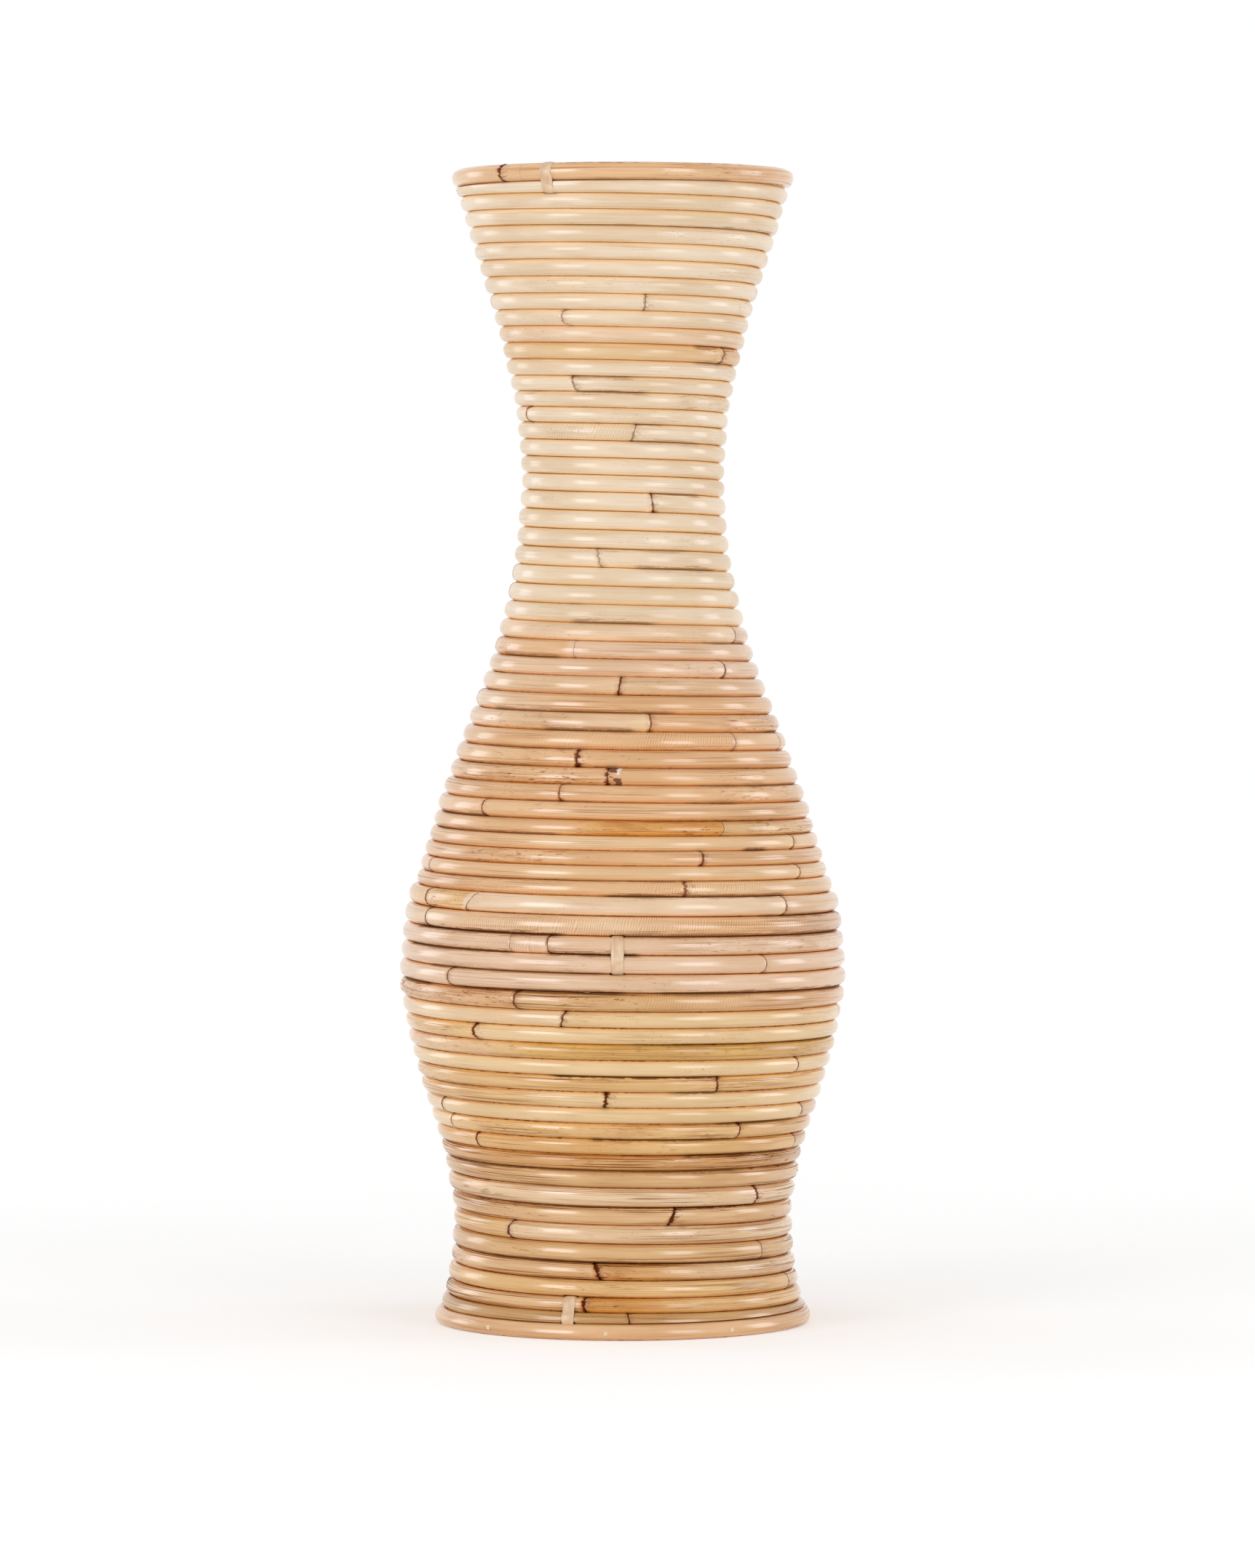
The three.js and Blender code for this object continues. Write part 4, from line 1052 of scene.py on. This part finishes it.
# Inner splints
# Six flat strips of split rattan stand inside the wall from the floor panel to the rim, and the canes are
# pinned to them. The split side is left bare, without lacquer, and has dried dull.
bare_rattan, nodes, raw = new_material("split rattan, bare")
splint_at = nodes.carried("grain")["Vector"]
splint_fibres = nodes.noise(splint_at, (14, 1100, 700), (0, 0, 0), 4, 0.65)
splint_patches = nodes.noise(splint_at, (12, 120, 120), (3, 3, 3), 2, 0.5)
dark_split, light_split, split_line = linear(188, 146, 100), linear(214, 178, 132), linear(126, 84, 50)
splint_colour = nodes.mix(nodes.ramp(splint_patches, 0.3, 0.7), (*dark_split, 1), (*light_split, 1))
splint_lined = nodes.times(nodes.ramp(splint_fibres, 0.5, 0.7), 0.55)
nodes.feed(raw["Base Color"], nodes.mix(splint_lined, splint_colour, (*split_line, 1)))
nodes.feed(raw["Roughness"], nodes.scaled(splint_fibres, 0.2, 0.6))
nodes.feed(raw["Normal"], nodes.bump(splint_fibres, 0.2 * MM, 0.8))

SPLINTS = 6
SPLINT_FIRST = -45
SPLINT_FLOOR = 6.8 * MM
SPLINT_FROM = SPLINT_FLOOR + 3.2 * MM
SPLINT_TO = WALL_LENGTH - 4 * MM
SPLINT_GAP = 0.35 * MM
SPLINT_SLACK = 0.4 * MM
# Across the strip, in mm: aside of its middle, and inward from its face on the canes
SPLINT_SECTION = [
    (4.5, 0.3), (3.9, 1.4), (2.4, 2.7), (0, 3.2), (-2.4, 2.7), (-3.9, 1.4), (-4.5, 0.3),
    (-4.1, 0), (4.1, 0),
]
splint_distance = np.linspace(SPLINT_FROM, SPLINT_TO, 130)
wall_radius, wall_height, face_out_r, face_out_z = wall_at(splint_distance)
face_radius = wall_radius - face_out_r * (HOOP_RADIUS + SPLINT_GAP) - SPLINT_SLACK
face_height = wall_height - face_out_z * (HOOP_RADIUS + SPLINT_GAP)
# The foot of a splint is cut level.
face_height[0] = SPLINT_FLOOR
face_out_z[0] = 0
splint_face = list(zip(splint_distance, face_radius, face_height, face_out_r, face_out_z))
for number in range(SPLINTS):
    degrees = SPLINT_FIRST + 360 / SPLINTS * number
    points = []
    grain = []
    for distance, radius, height, out_r, out_z in splint_face:
        for wide, deep in SPLINT_SECTION:
            aside, inward = wide * MM, deep * MM
            out = radius - out_r * inward
            out -= aside * aside / (2 * out)
            points.append(stand_at(degrees, aside, out, height - out_z * inward))
            grain.append((distance + 2.3 * number, aside, inward))
    faces = wrap_faces(len(splint_distance), len(SPLINT_SECTION))
    strip = make_piece(f"inner_splint_{number + 1}_strip", points, faces, 50, grain=grain)
    strip.data.materials.append(bare_rattan)
    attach(strip, "root")
    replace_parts(strip, f"inner_splint_{number + 1}")


# Floor panel
# A disc of plywood let into the base hoop a little above the ground, and held there by the brads. Its faces
# are sanded, its edges are eased, and its layers show at the rim.
PANEL_BOTTOM = 1 * MM
PANEL_TOP = 6.5 * MM
PANEL_CLEARANCE = 0.2 * MM
plywood, nodes, board = new_material("plywood, sanded")
board_at = nodes.node("TexCoord").outputs["Object"]
figure = nodes.noise(board_at, (9, 90, 40), (0, 0, 0), 3, 0.55)
pores = nodes.noise(board_at, (60, 1500, 200), (0, 0, 0), 2, 0.5)
dark_veneer, light_veneer, pore_brown = linear(186, 142, 92), linear(216, 180, 132), linear(130, 90, 54)
veneer = nodes.mix(nodes.ramp(figure, 0.35, 0.65), (*dark_veneer, 1), (*light_veneer, 1))
veneer = nodes.mix(nodes.times(nodes.ramp(pores, 0.56, 0.7), 0.5), veneer, (*pore_brown, 1))
banding = {"Vector": board_at, "Scale": 280.0}
layers = nodes.node("TexWave", banding, wave_type="BANDS", bands_direction="Z").outputs["Fac"]
facing_up = nodes.size(nodes.split(nodes.node("NewGeometry").outputs["Normal"])[2])
on_edge = nodes.math("LESS_THAN", facing_up, 0.5)
edge_lined = nodes.times(on_edge, nodes.ramp(layers, 0.4, 0.6))
nodes.feed(board["Base Color"], nodes.mix(edge_lined, veneer, (*linear(120, 80, 48), 1)))
nodes.feed(board["Roughness"], nodes.scaled(pores, 0.15, 0.6))
nodes.feed(board["Normal"], nodes.bump(pores, 0.2 * MM, 0.5))

bpy.ops.object.select_all(action="DESELECT")
bpy.ops.mesh.primitive_cylinder_add(
    vertices=96,
    radius=foot[0] - HOOP_RADIUS - PANEL_CLEARANCE,
    depth=PANEL_TOP - PANEL_BOTTOM,
    location=(0, 0, (PANEL_BOTTOM + PANEL_TOP) / 2),
)
panel = bpy.context.object
panel.name = "base_panel_disc"
eased_edge = panel.modifiers.new("eased edge", "BEVEL")
eased_edge.width = 0.6 * MM
eased_edge.segments = 2
eased_edge.limit_method = "ANGLE"
bpy.ops.object.modifier_apply(modifier=eased_edge.name)
bpy.ops.object.transform_apply(location=True, rotation=True, scale=True)
bpy.ops.object.shade_smooth_by_angle(angle=math.radians(35))
panel.data.materials.append(plywood)
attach(panel, "root")
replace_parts(panel, "base_panel")


# Brads
# Nine round-headed steel brads, driven level through the base hoop into the edge of the floor panel. Their
# heads sit proud of the cane, and they were primed cream and lacquered over with it.
primed_steel, nodes, steel = new_material("steel brad, primed cream and lacquered over")
brad_at = nodes.node("TexCoord").outputs["Object"]
scuffs = nodes.noise(brad_at, (1500, 1500, 1500), (0, 0, 0), 3, 0.6)
scuffed, primed = linear(214, 186, 146), linear(240, 222, 192)
nodes.feed(steel["Base Color"], nodes.mix(nodes.ramp(scuffs, 0.35, 0.7), (*scuffed, 1), (*primed, 1)))
nodes.feed(steel["Roughness"], nodes.scaled(scuffs, 0.3, 0.25))
nodes.feed(steel["Normal"], nodes.bump(scuffs, 0.1 * MM, 0.4))
nodes.feed(steel["Coat Weight"], 0.6)

BRADS = 9
BRAD_FIRST = -85
BRAD_HEIGHT = 3.75 * MM
BRAD_SPOKES = 14
# From the crown of the head to the tip, in mm: half the thickness, and how far out of the hoop's side
BRAD_OUTLINE = [
    (0, 0.25), (0.7, 0.18), (1.1, 0.02), (1.3, -0.25), (1.25, -0.5), (0.7, -0.75), (0.7, -18.9), (0, -20.3),
]
crown, *brad_rings, tip = BRAD_OUTLINE
hoop_side = foot[0] + HOOP_RADIUS
spokes = [(math.cos(turn), math.sin(turn)) for turn in np.arange(BRAD_SPOKES) * 2 * math.pi / BRAD_SPOKES]
brad_points = [(0, 0, crown[1])]
brad_points += [(half * across, half * up, out) for half, out in brad_rings for across, up in spokes]
brad_points.append((0, 0, tip[1]))
brad_faces = [(0, 1 + k, 1 + (k + 1) % BRAD_SPOKES) for k in range(BRAD_SPOKES)]
for level in range(len(brad_rings) - 1):
    start = 1 + level * BRAD_SPOKES
    for k in range(BRAD_SPOKES):
        here, beside_it = start + k, start + (k + 1) % BRAD_SPOKES
        brad_faces.append((here, here + BRAD_SPOKES, beside_it + BRAD_SPOKES, beside_it))
tail = 1 + (len(brad_rings) - 1) * BRAD_SPOKES
brad_faces += [(tail + k, len(brad_points) - 1, tail + (k + 1) % BRAD_SPOKES) for k in range(BRAD_SPOKES)]
for number in range(BRADS):
    degrees = BRAD_FIRST + 360 / BRADS * number
    points = [
        stand_at(degrees, across * MM, hoop_side + out * MM, BRAD_HEIGHT + up * MM)
        for across, up, out in brad_points
    ]
    brad = make_piece(f"panel_brad_{number + 1}_nail", points, brad_faces, 40)
    brad.data.materials.append(primed_steel)
    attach(brad, "root")
    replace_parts(brad, f"panel_brad_{number + 1}")
